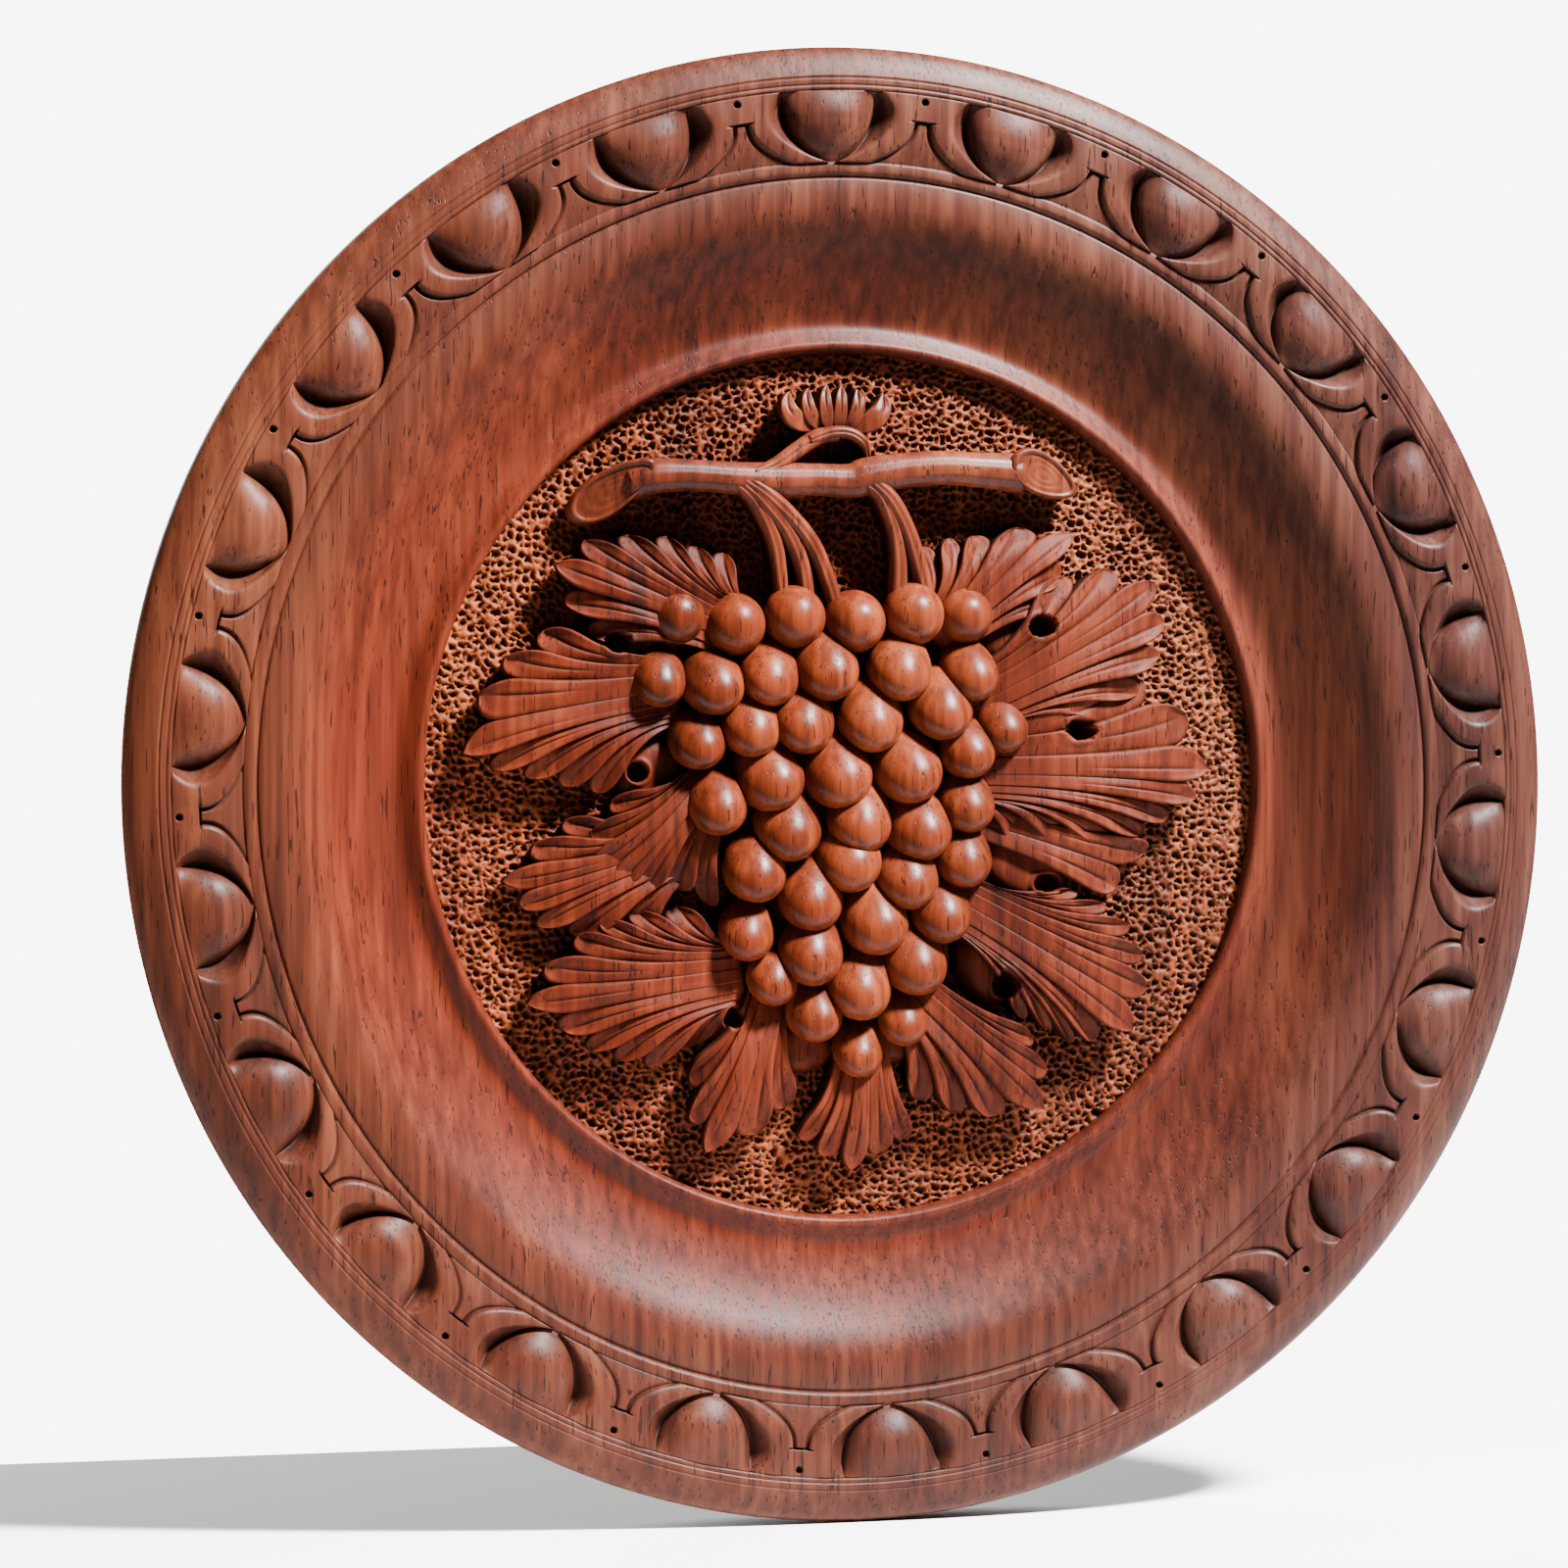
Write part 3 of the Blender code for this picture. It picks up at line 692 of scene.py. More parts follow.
def run_nodes(source, tree, name, values):
    """The result of a Geometry Nodes tree on an object, as a plain mesh object of its own."""
    modifier = source.modifiers.new("Nodes", "NODES")
    modifier.node_group = tree
    for socket in tree.interface.items_tree:
        if socket.in_out == "INPUT" and socket.name in values:
            modifier[socket.identifier] = values[socket.name]
    evaluated = source.evaluated_get(bpy.context.evaluated_depsgraph_get())
    mesh = bpy.data.meshes.new_from_object(evaluated)
    mesh.name = name
    source.modifiers.remove(modifier)
    bpy.data.objects.remove(source, do_unlink=True)
    mesh.polygons.foreach_set("use_smooth", [True] * len(mesh.polygons))
    obj = bpy.data.objects.new(name, mesh)
    bpy.context.scene.collection.objects.link(obj)
    return obj


# Matted ground

def ground_slab(name, first_angle, last_angle):
    """Half of the ground as a fine closed slab, left out where the bunch hides it."""
    columns = GROUND_COLUMNS // 2
    angles = np.linspace(first_angle, last_angle, columns)
    half_width, half_height = GROUND_HIDDEN_SIZE
    inner = 1 / np.sqrt((np.sin(angles) / half_width) ** 2 + (np.cos(angles) / half_height) ** 2)
    rows = int((GROUND_RADIUS - min(GROUND_HIDDEN_SIZE)) / GROUND_STEP)
    share = np.linspace(0, 1, rows)[:, None]
    radii = inner[None, :] + share * (GROUND_RADIUS + 0.6 - inner[None, :])
    across, up = radii * np.sin(angles), radii * np.cos(angles)
    top = np.stack((across, up, np.full_like(across, GROUND_HEIGHT)), -1)
    low = top[[-1, 0]].copy()
    low[..., 2] = BURIED_HEIGHT - 1.0
    points = np.concatenate((top, low)).reshape(-1, 3)
    faces = grid_faces(rows + 2, columns, wrap_rows=True, flip=True)
    first = [row * columns for row in range(rows + 2)]
    last = [(row + 1) * columns - 1 for row in range(rows + 2)]
    faces += [first, last[::-1]]
    mask = np.concatenate((np.ones(rows * columns), np.zeros(2 * columns)))
    return add_object(name, points, faces, {"matted": mask})


def punch_tree(material):
    """Geometry Nodes: rows of small punch marks pressed into the matted face."""
    tree, node, group_in, group_out = new_tree(
        "Punched Ground", ("Spacing", "Float", PUNCH_SPACING * MM), ("Depth", "Float", PUNCH_DEPTH * MM)
    )
    position = node("GeometryNodeInputPosition")
    scaled = node("ShaderNodeVectorMath", "DIVIDE")
    sway = node("ShaderNodeTexNoise", values={"Scale": 0.9, "Detail": 1.0})
    swayed = node("ShaderNodeVectorMath", "MULTIPLY_ADD", {1: (1.3, 0.0, 1.3)})
    cells = node("ShaderNodeTexVoronoi", values={"Scale": 1.0, "Randomness": 0.85})
    cells.feature = "DISTANCE_TO_EDGE"
    pit = node("ShaderNodeMapRange", values={"From Min": PIT_EDGES[0], "From Max": PIT_EDGES[1]})
    pit.interpolation_type = "SMOOTHSTEP"
    grit = node("ShaderNodeTexNoise", values={"Scale": 2.6, "Detail": 2.0})
    uneven = node("ShaderNodeMath", "MULTIPLY_ADD", {1: GRIT_SHARE, 2: -0.5 * GRIT_SHARE})
    together = node("ShaderNodeMath", "ADD")
    matted = node("GeometryNodeInputNamedAttribute", values={"Name": "matted"})
    masked = node("ShaderNodeMath", "MULTIPLY")
    press = node("ShaderNodeMath", "MULTIPLY")
    offset = node("ShaderNodeCombineXYZ")
    move = node("GeometryNodeSetPosition")
    # The depth of each pit is also stored as hollow, which darkens it: painted shade in the pits, with
    # some dark stain
    store = node("GeometryNodeStoreNamedAttribute", values={"Name": "hollow"})
    realize = node("GeometryNodeRealizeInstances")
    paint = node("GeometryNodeSetMaterial", values={"Material": material})
    link_nodes(
        tree,
        (position.outputs[0], scaled.inputs[0]),
        (group_in.outputs["Spacing"], scaled.inputs[1]),
        (scaled.outputs[0], sway.inputs["Vector"]),
        (sway.outputs["Color"], swayed.inputs[0]),
        (scaled.outputs[0], swayed.inputs[2]),
        (swayed.outputs[0], cells.inputs["Vector"]),
        (next(s for s in cells.outputs if s.name == "Distance"), pit.inputs["Value"]),
        (scaled.outputs[0], grit.inputs["Vector"]),
        (grit.outputs[0], uneven.inputs[0]),
        (pit.outputs[0], together.inputs[0]),
        (uneven.outputs[0], together.inputs[1]),
        (together.outputs[0], masked.inputs[0]),
        (matted.outputs["Attribute"], masked.inputs[1]),
        (masked.outputs[0], press.inputs[0]),
        (group_in.outputs["Depth"], press.inputs[1]),
        (press.outputs[0], offset.inputs["Y"]),
        (masked.outputs[0], store.inputs["Value"]),
        (offset.outputs["Vector"], move.inputs["Offset"]),
    )
    pass_on(tree, group_in, store, move, realize, paint, group_out)
    return tree


# Grapes

def bunch_swell(x, z):
    """How far towards the middle of the bunch a place lies, from 0 at its edge to 1."""
    across = (x - BUNCH_CENTRE[0]) / BUNCH_HALF_SIZE[0]
    up = (z - BUNCH_CENTRE[1]) / BUNCH_HALF_SIZE[1]
    return max(0.0, 1.0 - across * across - up * up)


def grape_unit(stretch, tilt):
    """A grape of radius 1 mm, drawn out upwards and with its lower side raised over the next one."""
    rings, segments = GRAPE_RINGS, GRAPE_SEGMENTS
    polar = np.linspace(0, math.pi, rings + 2)[1:-1]
    turn = np.arange(segments) * 2 * math.pi / segments
    across = np.sin(polar)[:, None] * np.cos(turn)
    up = np.sin(polar)[:, None] * np.sin(turn)
    level = np.broadcast_to(np.cos(polar)[:, None], across.shape)
    points = np.stack((across, up, level), -1).reshape(-1, 3)
    points = np.vstack((points, (0, 0, 1), (0, 0, -1)))
    points[:, 2] -= tilt * points[:, 1]
    points[:, 1] *= 1 + (stretch - 1) * np.clip(points[:, 1], 0, 1)
    faces = grid_faces(rings, segments, wrap_columns=True, flip=True)
    top, bottom = rings * segments, rings * segments + 1
    last = (rings - 1) * segments
    faces += [[top, i, (i + 1) % segments] for i in range(segments)]
    faces += [[bottom, last + (i + 1) % segments, last + i] for i in range(segments)]
    return add_object("grape_unit", points, faces)


def bunch_core(places):
    """The uncut mound behind the grapes, as far out as the grapes reach in each direction."""
    centres = np.array([(x, z) for x, z, _ in places], float) - BUNCH_CENTRE
    turn = np.arange(OVAL_STEPS) * 2 * math.pi / OVAL_STEPS
    reach = []
    for angle in turn:
        ahead = centres @ np.array((math.cos(angle), math.sin(angle)))
        aside = centres @ np.array((-math.sin(angle), math.cos(angle)))
        reach.append(ahead[np.abs(aside) < CORE_STRIP].max())
    reach = np.array(reach)
    loops = []
    for share in np.sin(np.linspace(0.02, 0.5 * math.pi, 16)):
        plan = share * reach[:, None] * np.column_stack((np.cos(turn), np.sin(turn)))
        level = BURIED_HEIGHT + CORE_RISE * math.sqrt(max(0.0, 1 - share**2))
        loops.append(np.column_stack((plan + BUNCH_CENTRE, np.full(len(turn), level))))
    stacked = np.stack(loops)
    points, faces = sweep_loops(stacked)
    # The whole mound is darkened: painted shade in the gaps between the grapes
    return points, faces, np.full(len(points), 0.8)


def scatter_tree(unit, material):
    """Geometry Nodes: the unit set on each point at the point's own size."""
    tree, node, group_in, group_out = new_tree("Grapes on Points", ("Turn", "Float", GRAPE_TURN))
    grape = node("GeometryNodeObjectInfo", values={"Object": unit})
    size = node("GeometryNodeInputNamedAttribute", values={"Name": "size"})
    negative = node("ShaderNodeMath", "MULTIPLY", {1: -1.0})
    random_turn = node("FunctionNodeRandomValue", values={"Seed": GRAPE_SEED})
    turn = node("ShaderNodeCombineXYZ")
    instance = node("GeometryNodeInstanceOnPoints")
    realize = node("GeometryNodeRealizeInstances")
    paint = node("GeometryNodeSetMaterial", values={"Material": material})
    value_sockets = [s for s in random_turn.inputs if s.name in ("Min", "Max") and s.type == "VALUE"]
    link_nodes(
        tree,
        (group_in.outputs["Turn"], negative.inputs[0]),
        (negative.outputs[0], value_sockets[0]),
        (group_in.outputs["Turn"], value_sockets[1]),
        ([s for s in random_turn.outputs if s.type == "VALUE"][0], turn.inputs["Y"]),
        (group_in.outputs["Geometry"], instance.inputs["Points"]),
        (grape.outputs["Geometry"], instance.inputs["Instance"]),
        (turn.outputs["Vector"], instance.inputs["Rotation"]),
        (size.outputs["Attribute"], instance.inputs["Scale"]),
    )
    pass_on(tree, instance, realize, paint, group_out)
    return tree


# Leaves

def bezier(root, control, tip, t):
    """Points at t on a curve from root to tip that leans towards the control point."""
    t = np.asarray(t)[:, None]
    return (1 - t) ** 2 * np.array(root) + 2 * t * (1 - t) * np.array(control) + t**2 * np.array(tip)


def sweep_loops(loops):
    """Points and faces of a closed skin through loops of equal length."""
    rows, size = loops.shape[:2]
    faces = grid_faces(rows, size, wrap_columns=True, flip=True)
    faces.append(list(range(size)))
    faces.append(list(range(rows * size - 1, (rows - 1) * size - 1, -1)))
    return loops.reshape(-1, 3), faces


def blade_skin(centre, reach_left, reach_right, crest, tilt, gouge_depth):
    """One gouged finger between its two edges, with raised arrises and an undercut below."""
    count = len(centre)
    t = np.linspace(0, 1, count)
    half = (0.05, 0.16, 0.32, 0.5, 0.66, 0.8, 0.9, 0.97, 1)
    a = np.array((*[-share for share in half[::-1]], 0, *half))
    size = 0.5 * np.linalg.norm(reach_left - reach_right, axis=1)[:, None]
    share = np.abs(a)[None, :, None]
    edge = np.where(a[None, :, None] < 0, reach_left[:, None, :], reach_right[:, None, :])
    plan = centre[:, None, :] * (1 - share) + edge * share
    rising = np.clip((t - 0.1) / 0.6, 0, 1)[:, None]
    spooned = np.clip((t - 0.5) / 0.35, 0, 1)[:, None]
    wide = np.clip(size / 3.2, 0, 1)
    spoon = spooned * (np.abs(a) ** 1.6 - 0.5) + (1 - spooned) * (0.35 - 0.7 * a * a)
    profile = gouge_depth * rising * wide * spoon
    profile += tilt * rising * a * wide
    edge_line = np.clip((np.abs(a) - 0.84) / 0.16, 0, 1) ** 2
    profile -= (0.25 + 0.75 * rising) * edge_line
    vein = (np.clip((t - 0.35) / 0.2, 0, 1) * np.clip((0.93 - t) / 0.15, 0, 1))[:, None]
    vein = vein * np.exp(-((a / 0.08) ** 2))
    profile -= 0.5 * vein
    top = np.concatenate((plan, (crest[:, None] + profile)[..., None]), -1)
    top = press_holes(top)
    under = []
    for side, share in ((1, 0.93), (1, 0.6), (-1, 0.6), (-1, 0.93)):
        rim = reach_right if side > 0 else reach_left
        base = centre * (1 - share) + rim * share
        if share > 0.9:
            level = top[:, -1 if side > 0 else 0, 2] - FINGER_THICKNESS
        else:
            base = base[0] + (base - base[0]) * 0.94
            level = np.full(count, BURIED_HEIGHT)
        under.append(np.column_stack((base, np.maximum(level, BURIED_HEIGHT))))
    loops = np.concatenate((top, np.stack(under, 1)), 1)
    # Dark along the edge lines and veins, in the holes and all over the underside: painted shade in the
    # grooves and under the leaf, with some dark stain in the cuts
    line = np.clip(edge_line * (0.35 + 0.65 * rising) + 0.8 * vein, 0, 1)
    hollow = np.clip(np.clip((0.1 - profile) / 2.6, 0, 1) * 0.4 + 0.55 * line, 0, 1)
    hollow = np.where(top[..., 2] < LEAF_HOLE_FLOOR + 3, 1.0, hollow)
    dark = np.concatenate((hollow, np.full((count, 4), 1.0)), 1)
    points, faces = sweep_loops(loops)
    return points, faces, dark.reshape(-1)


def press_holes(top):
    """Sinks the leaf surface inside each drilled hole and raises a soft edge round it."""
    for x, z, half_width, half_height in LEAF_HOLES:
        across, up = (top[..., 0] - x) / half_width, (top[..., 1] - z) / half_height
        away = np.sqrt(across**2 + up**2)
        sunk = np.clip((1.1 - away) / 0.16, 0, 1)
        top[..., 2] += 0.5 * np.exp(-(((away - 1.35) / 0.25) ** 2))
        top[..., 2] = top[..., 2] * (1 - sunk) + LEAF_HOLE_FLOOR * sunk
    return top


def leaf(base, lengths, headings, heading, lift):
    """All the fingers of one leaf, as a list of skins; neighbours share the line between them."""
    base = np.array(base, float) + (LEAF_SHIFT, 0.0)
    forward, across = axes(heading)
    t = 1 - (1 - np.linspace(0, 1, FINGER_STEPS)) ** 1.2
    curves, turns = [], []
    for length, finger_heading in zip(lengths, headings):
        turn = math.radians(finger_heading - heading)
        ahead, aside = length * math.cos(turn) + LEAF_ROOT_SETBACK, length * math.sin(turn)
        start = LEAF_ROOT_SPREAD * aside
        turning = (LEAF_BEND * max(ahead, 8.0), start + 0.04 * (aside - start))
        local = bezier((0, start), turning, (ahead, aside), t)
        curves.append(base + forward * (local[:, :1] - LEAF_ROOT_SETBACK) + across * local[:, 1:])
        turns.append(turn)
    leftwards = turns[-1] > turns[0]
    round_off = np.clip((t - LEAF_NOTCH) / (1 - LEAF_NOTCH), 0, 1)
    taper = (np.sqrt(np.clip(1 - round_off**2.4, 0, 1)) * 0.985 + 0.015)[:, None]
    skins = []
    for i, (curve, turn) in enumerate(zip(curves, turns)):
        halves = []
        for j in (i - 1, i + 1):
            other = curves[j] if 0 <= j < len(curves) else 2 * curve - curves[2 * i - j]
            half = 0.5 * (other - curve)
            if not 0 <= j < len(curves):
                half *= OUTER_FINGER_SHARE
            halves.append(curve + half * FINGER_OVERLAP * taper)
        left, right = halves[::-1] if leftwards else halves
        rise = lift + 0.5 - LEAF_FALL * abs(turn) ** 1.5
        crest = LEAF_ROOT_HEIGHT + (LEAF_TIP_HEIGHT - LEAF_ROOT_HEIGHT) * t**1.3
        crest = crest + rise + LEAF_ARCH * np.sin(math.pi * t**0.85) ** 0.8
        tilt = FINGER_TILT * max(-1.0, min(1.0, turn / 0.25))
        skins.append(blade_skin(curve, left, right, crest, -tilt, FINGER_GOUGE))
    return skins


def web(x, z, half_width, half_height, heading, crest):
    """A low swell of uncut wood that joins two leaves round a drilled hole."""
    turn = np.arange(OVAL_STEPS) * 2 * math.pi / OVAL_STEPS
    along, side = axes(heading)
    loops = []
    for share in np.linspace(0.02, 1.0, 30):
        oval = half_width * np.cos(turn)[:, None] * along + half_height * np.sin(turn)[:, None] * side
        plan = (x, z) + share * oval
        level = BURIED_HEIGHT + 1.0 + (crest - BURIED_HEIGHT - 1.0) * math.sqrt(max(0.0, 1 - share**4))
        loops.append(np.column_stack((plan, np.full(len(turn), level))))
    loops.append(loops[-1] - (0.0, 0.0, 1.0))
    stacked = press_holes(np.stack(loops))
    # Darker towards the foot of the swell: painted shade low down
    hollow = np.clip((crest - 0.8 - stacked[..., 2]) / 4.0, 0, 1)
    points, faces = sweep_loops(stacked)
    return points, faces, hollow.reshape(-1)


def petal(root, control, tip, half_width, height):
    """One petal of the bud, a single gouged blade."""
    t = 1 - (1 - np.linspace(0, 1, PETAL_STEPS)) ** 1.2
    curve = bezier(root, control, tip, t)
    width = half_width * (0.35 + 0.65 * np.sin(math.pi * np.clip(t, 0, 1) ** 0.8) ** 0.7)
    width = width * (np.sqrt(np.clip(1 - np.clip((t - 0.7) / 0.3, 0, 1) ** 2, 0, 1)) * 0.98 + 0.02)
    offset = path_sides(curve) * width[:, None]
    crest = height + 2.0 * np.sin(math.pi * t)
    return blade_skin(curve, curve + offset, curve - offset, crest, 0.3, 1.0)


def join_skins(name, skins):
    """One object from several closed skins of (points, faces, hollowness)."""
    points, faces, dark = [], [], []
    count = 0
    for skin_points, skin_faces, skin_dark in skins:
        points.append(skin_points)
        faces += [[count + i for i in face] for face in skin_faces]
        dark.append(skin_dark)
        count += len(skin_points)
    return add_object(name, np.concatenate(points), faces, {"hollow": np.concatenate(dark)})


# Branch, stems and bud

def strand(path, count, creases):
    """A rounded strand on a narrower web, along a path of (x, z, half width, crest height), with
    creases given as (share across, depth in mm)."""
    rows = smooth_path(path, count)
    side = path_sides(rows[:, :2])
    turn = np.linspace(-STRAND_SPAN, STRAND_SPAN, STRAND_COLUMNS)
    loops = []
    for offset, drop in zip(np.sin(turn), 1 - np.cos(turn)):
        plan = rows[:, :2] + side * (offset * rows[:, 2])[:, None]
        dent = sum(depth * math.exp(-(((offset - at) / CREASE_WIDTH) ** 2)) for at, depth in creases)
        loops.append(np.column_stack((plan, rows[:, 3] - drop * rows[:, 2] * 0.95 - dent)))
    for share in (0.45, -0.45):
        plan = rows[:, :2] + side * (share * rows[:, 2])[:, None]
        loops.append(np.column_stack((plan, np.full(len(rows), BURIED_HEIGHT))))
    stacked = np.stack(loops, 1)
    points, faces = sweep_loops(stacked)
    # Darker low on the sides of each strand: painted shade under the branch and stems
    dark = np.clip((rows[:, 3][:, None] - stacked[..., 2] - 1.5 * rows[:, 2][:, None]) / 3.0, 0, 1)
    return points, faces, dark.reshape(-1)


def cut_end(x, z, half_length, half_width, heading, height, slope):
    """The oval sawn face at an end of the branch, with fine growth rings."""
    turn = np.arange(OVAL_STEPS) * 2 * math.pi / OVAL_STEPS
    along, side = axes(heading)

    def oval(share):
        u = share * half_length * np.cos(turn)
        v = share * half_width * np.sin(turn) * (1 - 0.25 * np.cos(turn))
        return u, np.array((x, z)) + u[:, None] * along + v[:, None] * side

    loops = []
    for share in np.linspace(0.04, 1.0, CUT_END_RINGS):
        u, plan = oval(share)
        edge = max(0.0, (share - 0.9) / 0.1)
        level = height + slope * u / half_length + RING_RELIEF * math.sin(share * 24) - 0.9 * edge * edge
        loops.append(np.column_stack((plan, level + (0.5 if 0.84 < share < 0.95 else 0.0))))
    for share, level in ((0.97, loops[-1][:, 2] - 1.6), (0.7, np.full(OVAL_STEPS, BURIED_HEIGHT))):
        loops.append(np.column_stack((oval(share)[1], level)))
    stacked = np.stack(loops)
    points, faces = sweep_loops(stacked)
    # The sides under the sawn face are fully dark: painted shade
    dark = np.zeros(stacked.shape[:2])
    dark[-2:] = 1.0
    return points, faces, dark.reshape(-1)


# Materials

def wood_material(name, tones, hollow_tone, roughness, shine, pores):
    """Oiled hardwood with upright grain; tones are its dark, middle and light colours."""
    material = bpy.data.materials.new(name)
    material.use_nodes = True
    tree = material.node_tree
    shader = tree.nodes["Principled BSDF"]
    shader.inputs["Specular IOR Level"].default_value = shine
    node = node_maker(tree)
    coordinates = node("ShaderNodeTexCoord")

    def feed(socket, value):
        """Links another node's output to the socket, or sets a number or a colour on it."""
        if isinstance(value, bpy.types.NodeSocket):
            tree.links.new(value, socket)
        else:
            socket.default_value = (*value, 1.0) if isinstance(value, tuple) else value

    def noise(stretch, detail, distortion=0.0):
        across, up = stretch
        mapping = node("ShaderNodeMapping", values={"Scale": (across, across, up)})
        sizes = {"Scale": 1.0, "Detail": detail, "Distortion": distortion}
        texture = node("ShaderNodeTexNoise", values=sizes)
        feed(mapping.inputs["Vector"], coordinates.outputs["Object"])
        feed(texture.inputs["Vector"], mapping.outputs["Vector"])
        return texture.outputs[0]

    def maths(operation, *values):
        step = node("ShaderNodeMath", operation)
        for socket, value in zip(step.inputs, values):
            feed(socket, value)
        return step.outputs[0]

    def ramp(value, *stops):
        colours = node("ShaderNodeValToRGB")
        elements = colours.color_ramp.elements
        while len(elements) < len(stops):
            elements.new(0.5)
        for element, (at, colour) in zip(elements, stops):
            element.position = at
            element.color = (*colour, 1.0)
        feed(colours.inputs["Fac"], value)
        return colours.outputs["Color"]

    def mix(factor, first, second, how="MIX"):
        blend = node("ShaderNodeMix")
        blend.data_type = "RGBA"
        blend.blend_type = how
        feed(blend.inputs["Factor"], factor)
        feed(blend.inputs[6], first)
        feed(blend.inputs[7], second)
        return blend.outputs[2]

    def share_of(key):
        stored = node("ShaderNodeAttribute")
        stored.attribute_name = key
        return stored.outputs["Fac"]

    # Grain: broad figure and fine upright streaks
    broad = noise(FIGURE_STRETCH, 3.0, 0.6)
    streaks = noise(STREAK_STRETCH, 4.0)
    grain = maths("ADD", maths("MULTIPLY", broad, 0.55), maths("MULTIPLY", streaks, 0.45))
    colour = ramp(grain, *zip(TONE_STOPS, tones))
    # Painted light and shade by side, swayed by the broad figure: warmer and lighter at the left, darker
    # and mauve at the right; then the painted shade in the cove, and the rim's mauve tint, partly a
    # painted sheen
    split = node("ShaderNodeSeparateXYZ")
    feed(split.inputs[0], coordinates.outputs["Object"])
    across = maths("MULTIPLY_ADD", split.outputs["X"], 2.2, 0.5)
    side_light = maths("MULTIPLY_ADD", broad, 0.8, maths("ADD", across, -0.4))
    colour = mix(1.0, ramp(side_light, (0.15, LIT_LEFT_TINT), (0.85, SHADED_RIGHT_TINT)), colour, "MULTIPLY")
    for key, tint in (("cove_shade", COVE_SHADE_TINT), ("mauve", MAUVE)):
        colour = mix(share_of(key), colour, mix(1.0, tint, colour, "MULTIPLY"))
    # Short dark pores along the grain, then the dark of the hollow share: painted shade in cuts, pits,
    # holes and under the relief, with some dark stain in the cuts
    where = noise(PORE_PATCH_STRETCH, 2.0)
    ticks = maths("MULTIPLY_ADD", where, 0.22, noise(PORE_STRETCH, 1.0))
    pore = ramp(ticks, (0.765, (0, 0, 0)), (0.80, (1, 1, 1)))
    colour = mix(maths("MULTIPLY", pore, 0.75 * pores), colour, hollow_tone)
    hollow = share_of("hollow")
    colour = mix(maths("MULTIPLY", hollow, 0.85), colour, hollow_tone)
    feed(shader.inputs["Base Color"], colour)
    gloss = maths("MULTIPLY_ADD", streaks, 0.18, roughness - 0.09)
    feed(shader.inputs["Roughness"], maths("MULTIPLY_ADD", hollow, 0.25, gloss))
    bump = node("ShaderNodeBump", values={"Strength": 0.35, "Distance": 0.0003})
    relief = maths("MULTIPLY_ADD", pore, -1.0 * pores, maths("MULTIPLY", streaks, 0.6))
    feed(bump.inputs["Height"], relief)
    feed(shader.inputs["Normal"], bump.outputs["Normal"])
    return material


def floor_paper():
    """Pale matt paper that falls off to a darker tone in front of the plaque."""
    material = bpy.data.materials.new("floor_paper")
    material.use_nodes = True
    tree = material.node_tree
    shader = tree.nodes["Principled BSDF"]
    shader.inputs["Roughness"].default_value = FLOOR_ROUGHNESS
    node = node_maker(tree)
    coordinates, split = node("ShaderNodeTexCoord"), node("ShaderNodeSeparateXYZ")
    fade = node("ShaderNodeMapRange", values={
        "From Min": FLOOR_FADE[0],
        "From Max": FLOOR_FADE[1],
        "To Min": FLOOR_TONE,
        "To Max": FLOOR_FAR_TONE,
    })
    fade.interpolation_type = "SMOOTHSTEP"
    link_nodes(
        tree,
        (coordinates.outputs["Object"], split.inputs[0]),
        (split.outputs["Y"], fade.inputs["Value"]),
        (fade.outputs[0], shader.inputs["Base Color"]),
    )
    return material


# Settings that a user would change

class PlaqueSettings(bpy.types.PropertyGroup):
    """Sizes and colours of the plaque."""

    punch_spacing: bpy.props.FloatProperty(
        name="Punch Spacing",
        description="Distance between the punch marks of the ground",
        default=PUNCH_SPACING * MM,
        subtype="DISTANCE",
        unit="LENGTH",
    )
    punch_depth: bpy.props.FloatProperty(
        name="Punch Depth",
        description="Depth of the punch marks of the ground",
        default=PUNCH_DEPTH * MM,
        subtype="DISTANCE",
        unit="LENGTH",
    )
    wood_dark: bpy.props.FloatVectorProperty(
        name="Dark Wood",
        description="Darkest tone of the grain",
        default=(0.017, 0.0036, 0.0022),
        subtype="COLOR",
    )
    wood_middle: bpy.props.FloatVectorProperty(
        name="Middle Wood",
        description="Middle tone of the grain",
        default=(0.052, 0.0086, 0.0038),
        subtype="COLOR",
    )
    wood_light: bpy.props.FloatVectorProperty(
        name="Light Wood",
        description="Lightest tone of the grain",
        default=(0.105, 0.0195, 0.0076),
        subtype="COLOR",
    )
    # Also the tone of the painted shade in cuts, pits, holes and under the relief
    hollow_tone: bpy.props.FloatVectorProperty(
        name="Hollow Wood",
        description="Tone of pores and deep cuts",
        default=(0.006, 0.002, 0.0014),
        subtype="COLOR",
    )


def settings():
    return bpy.context.scene.plaque_settings


def wood(name):
    """The wood of one region: the plaque's three tones, each multiplied by the region's own."""
    values = settings()
    warmth, roughness, shine, pores = WOODS[name]
    tones = [
        tuple(channel * factor for channel, factor in zip(tone, warmth))
        for tone in (values.wood_dark, values.wood_middle, values.wood_light)
    ]
    return wood_material(name, tones, tuple(values.hollow_tone), roughness, shine, pores)


class PLAQUE_OT_turned_body(bpy.types.Operator):
    """Turn the dish with its lip, cove, bead, fillet and rounded rim"""

    bl_idname = "plaque.turned_body"
    bl_label = "Turned Body"

    def execute(self, context):
        body = turned("turned_body", body_outline(), RIM_STEPS)
        finish_piece(body, wood("rim_wood"))
        return {"FINISHED"}


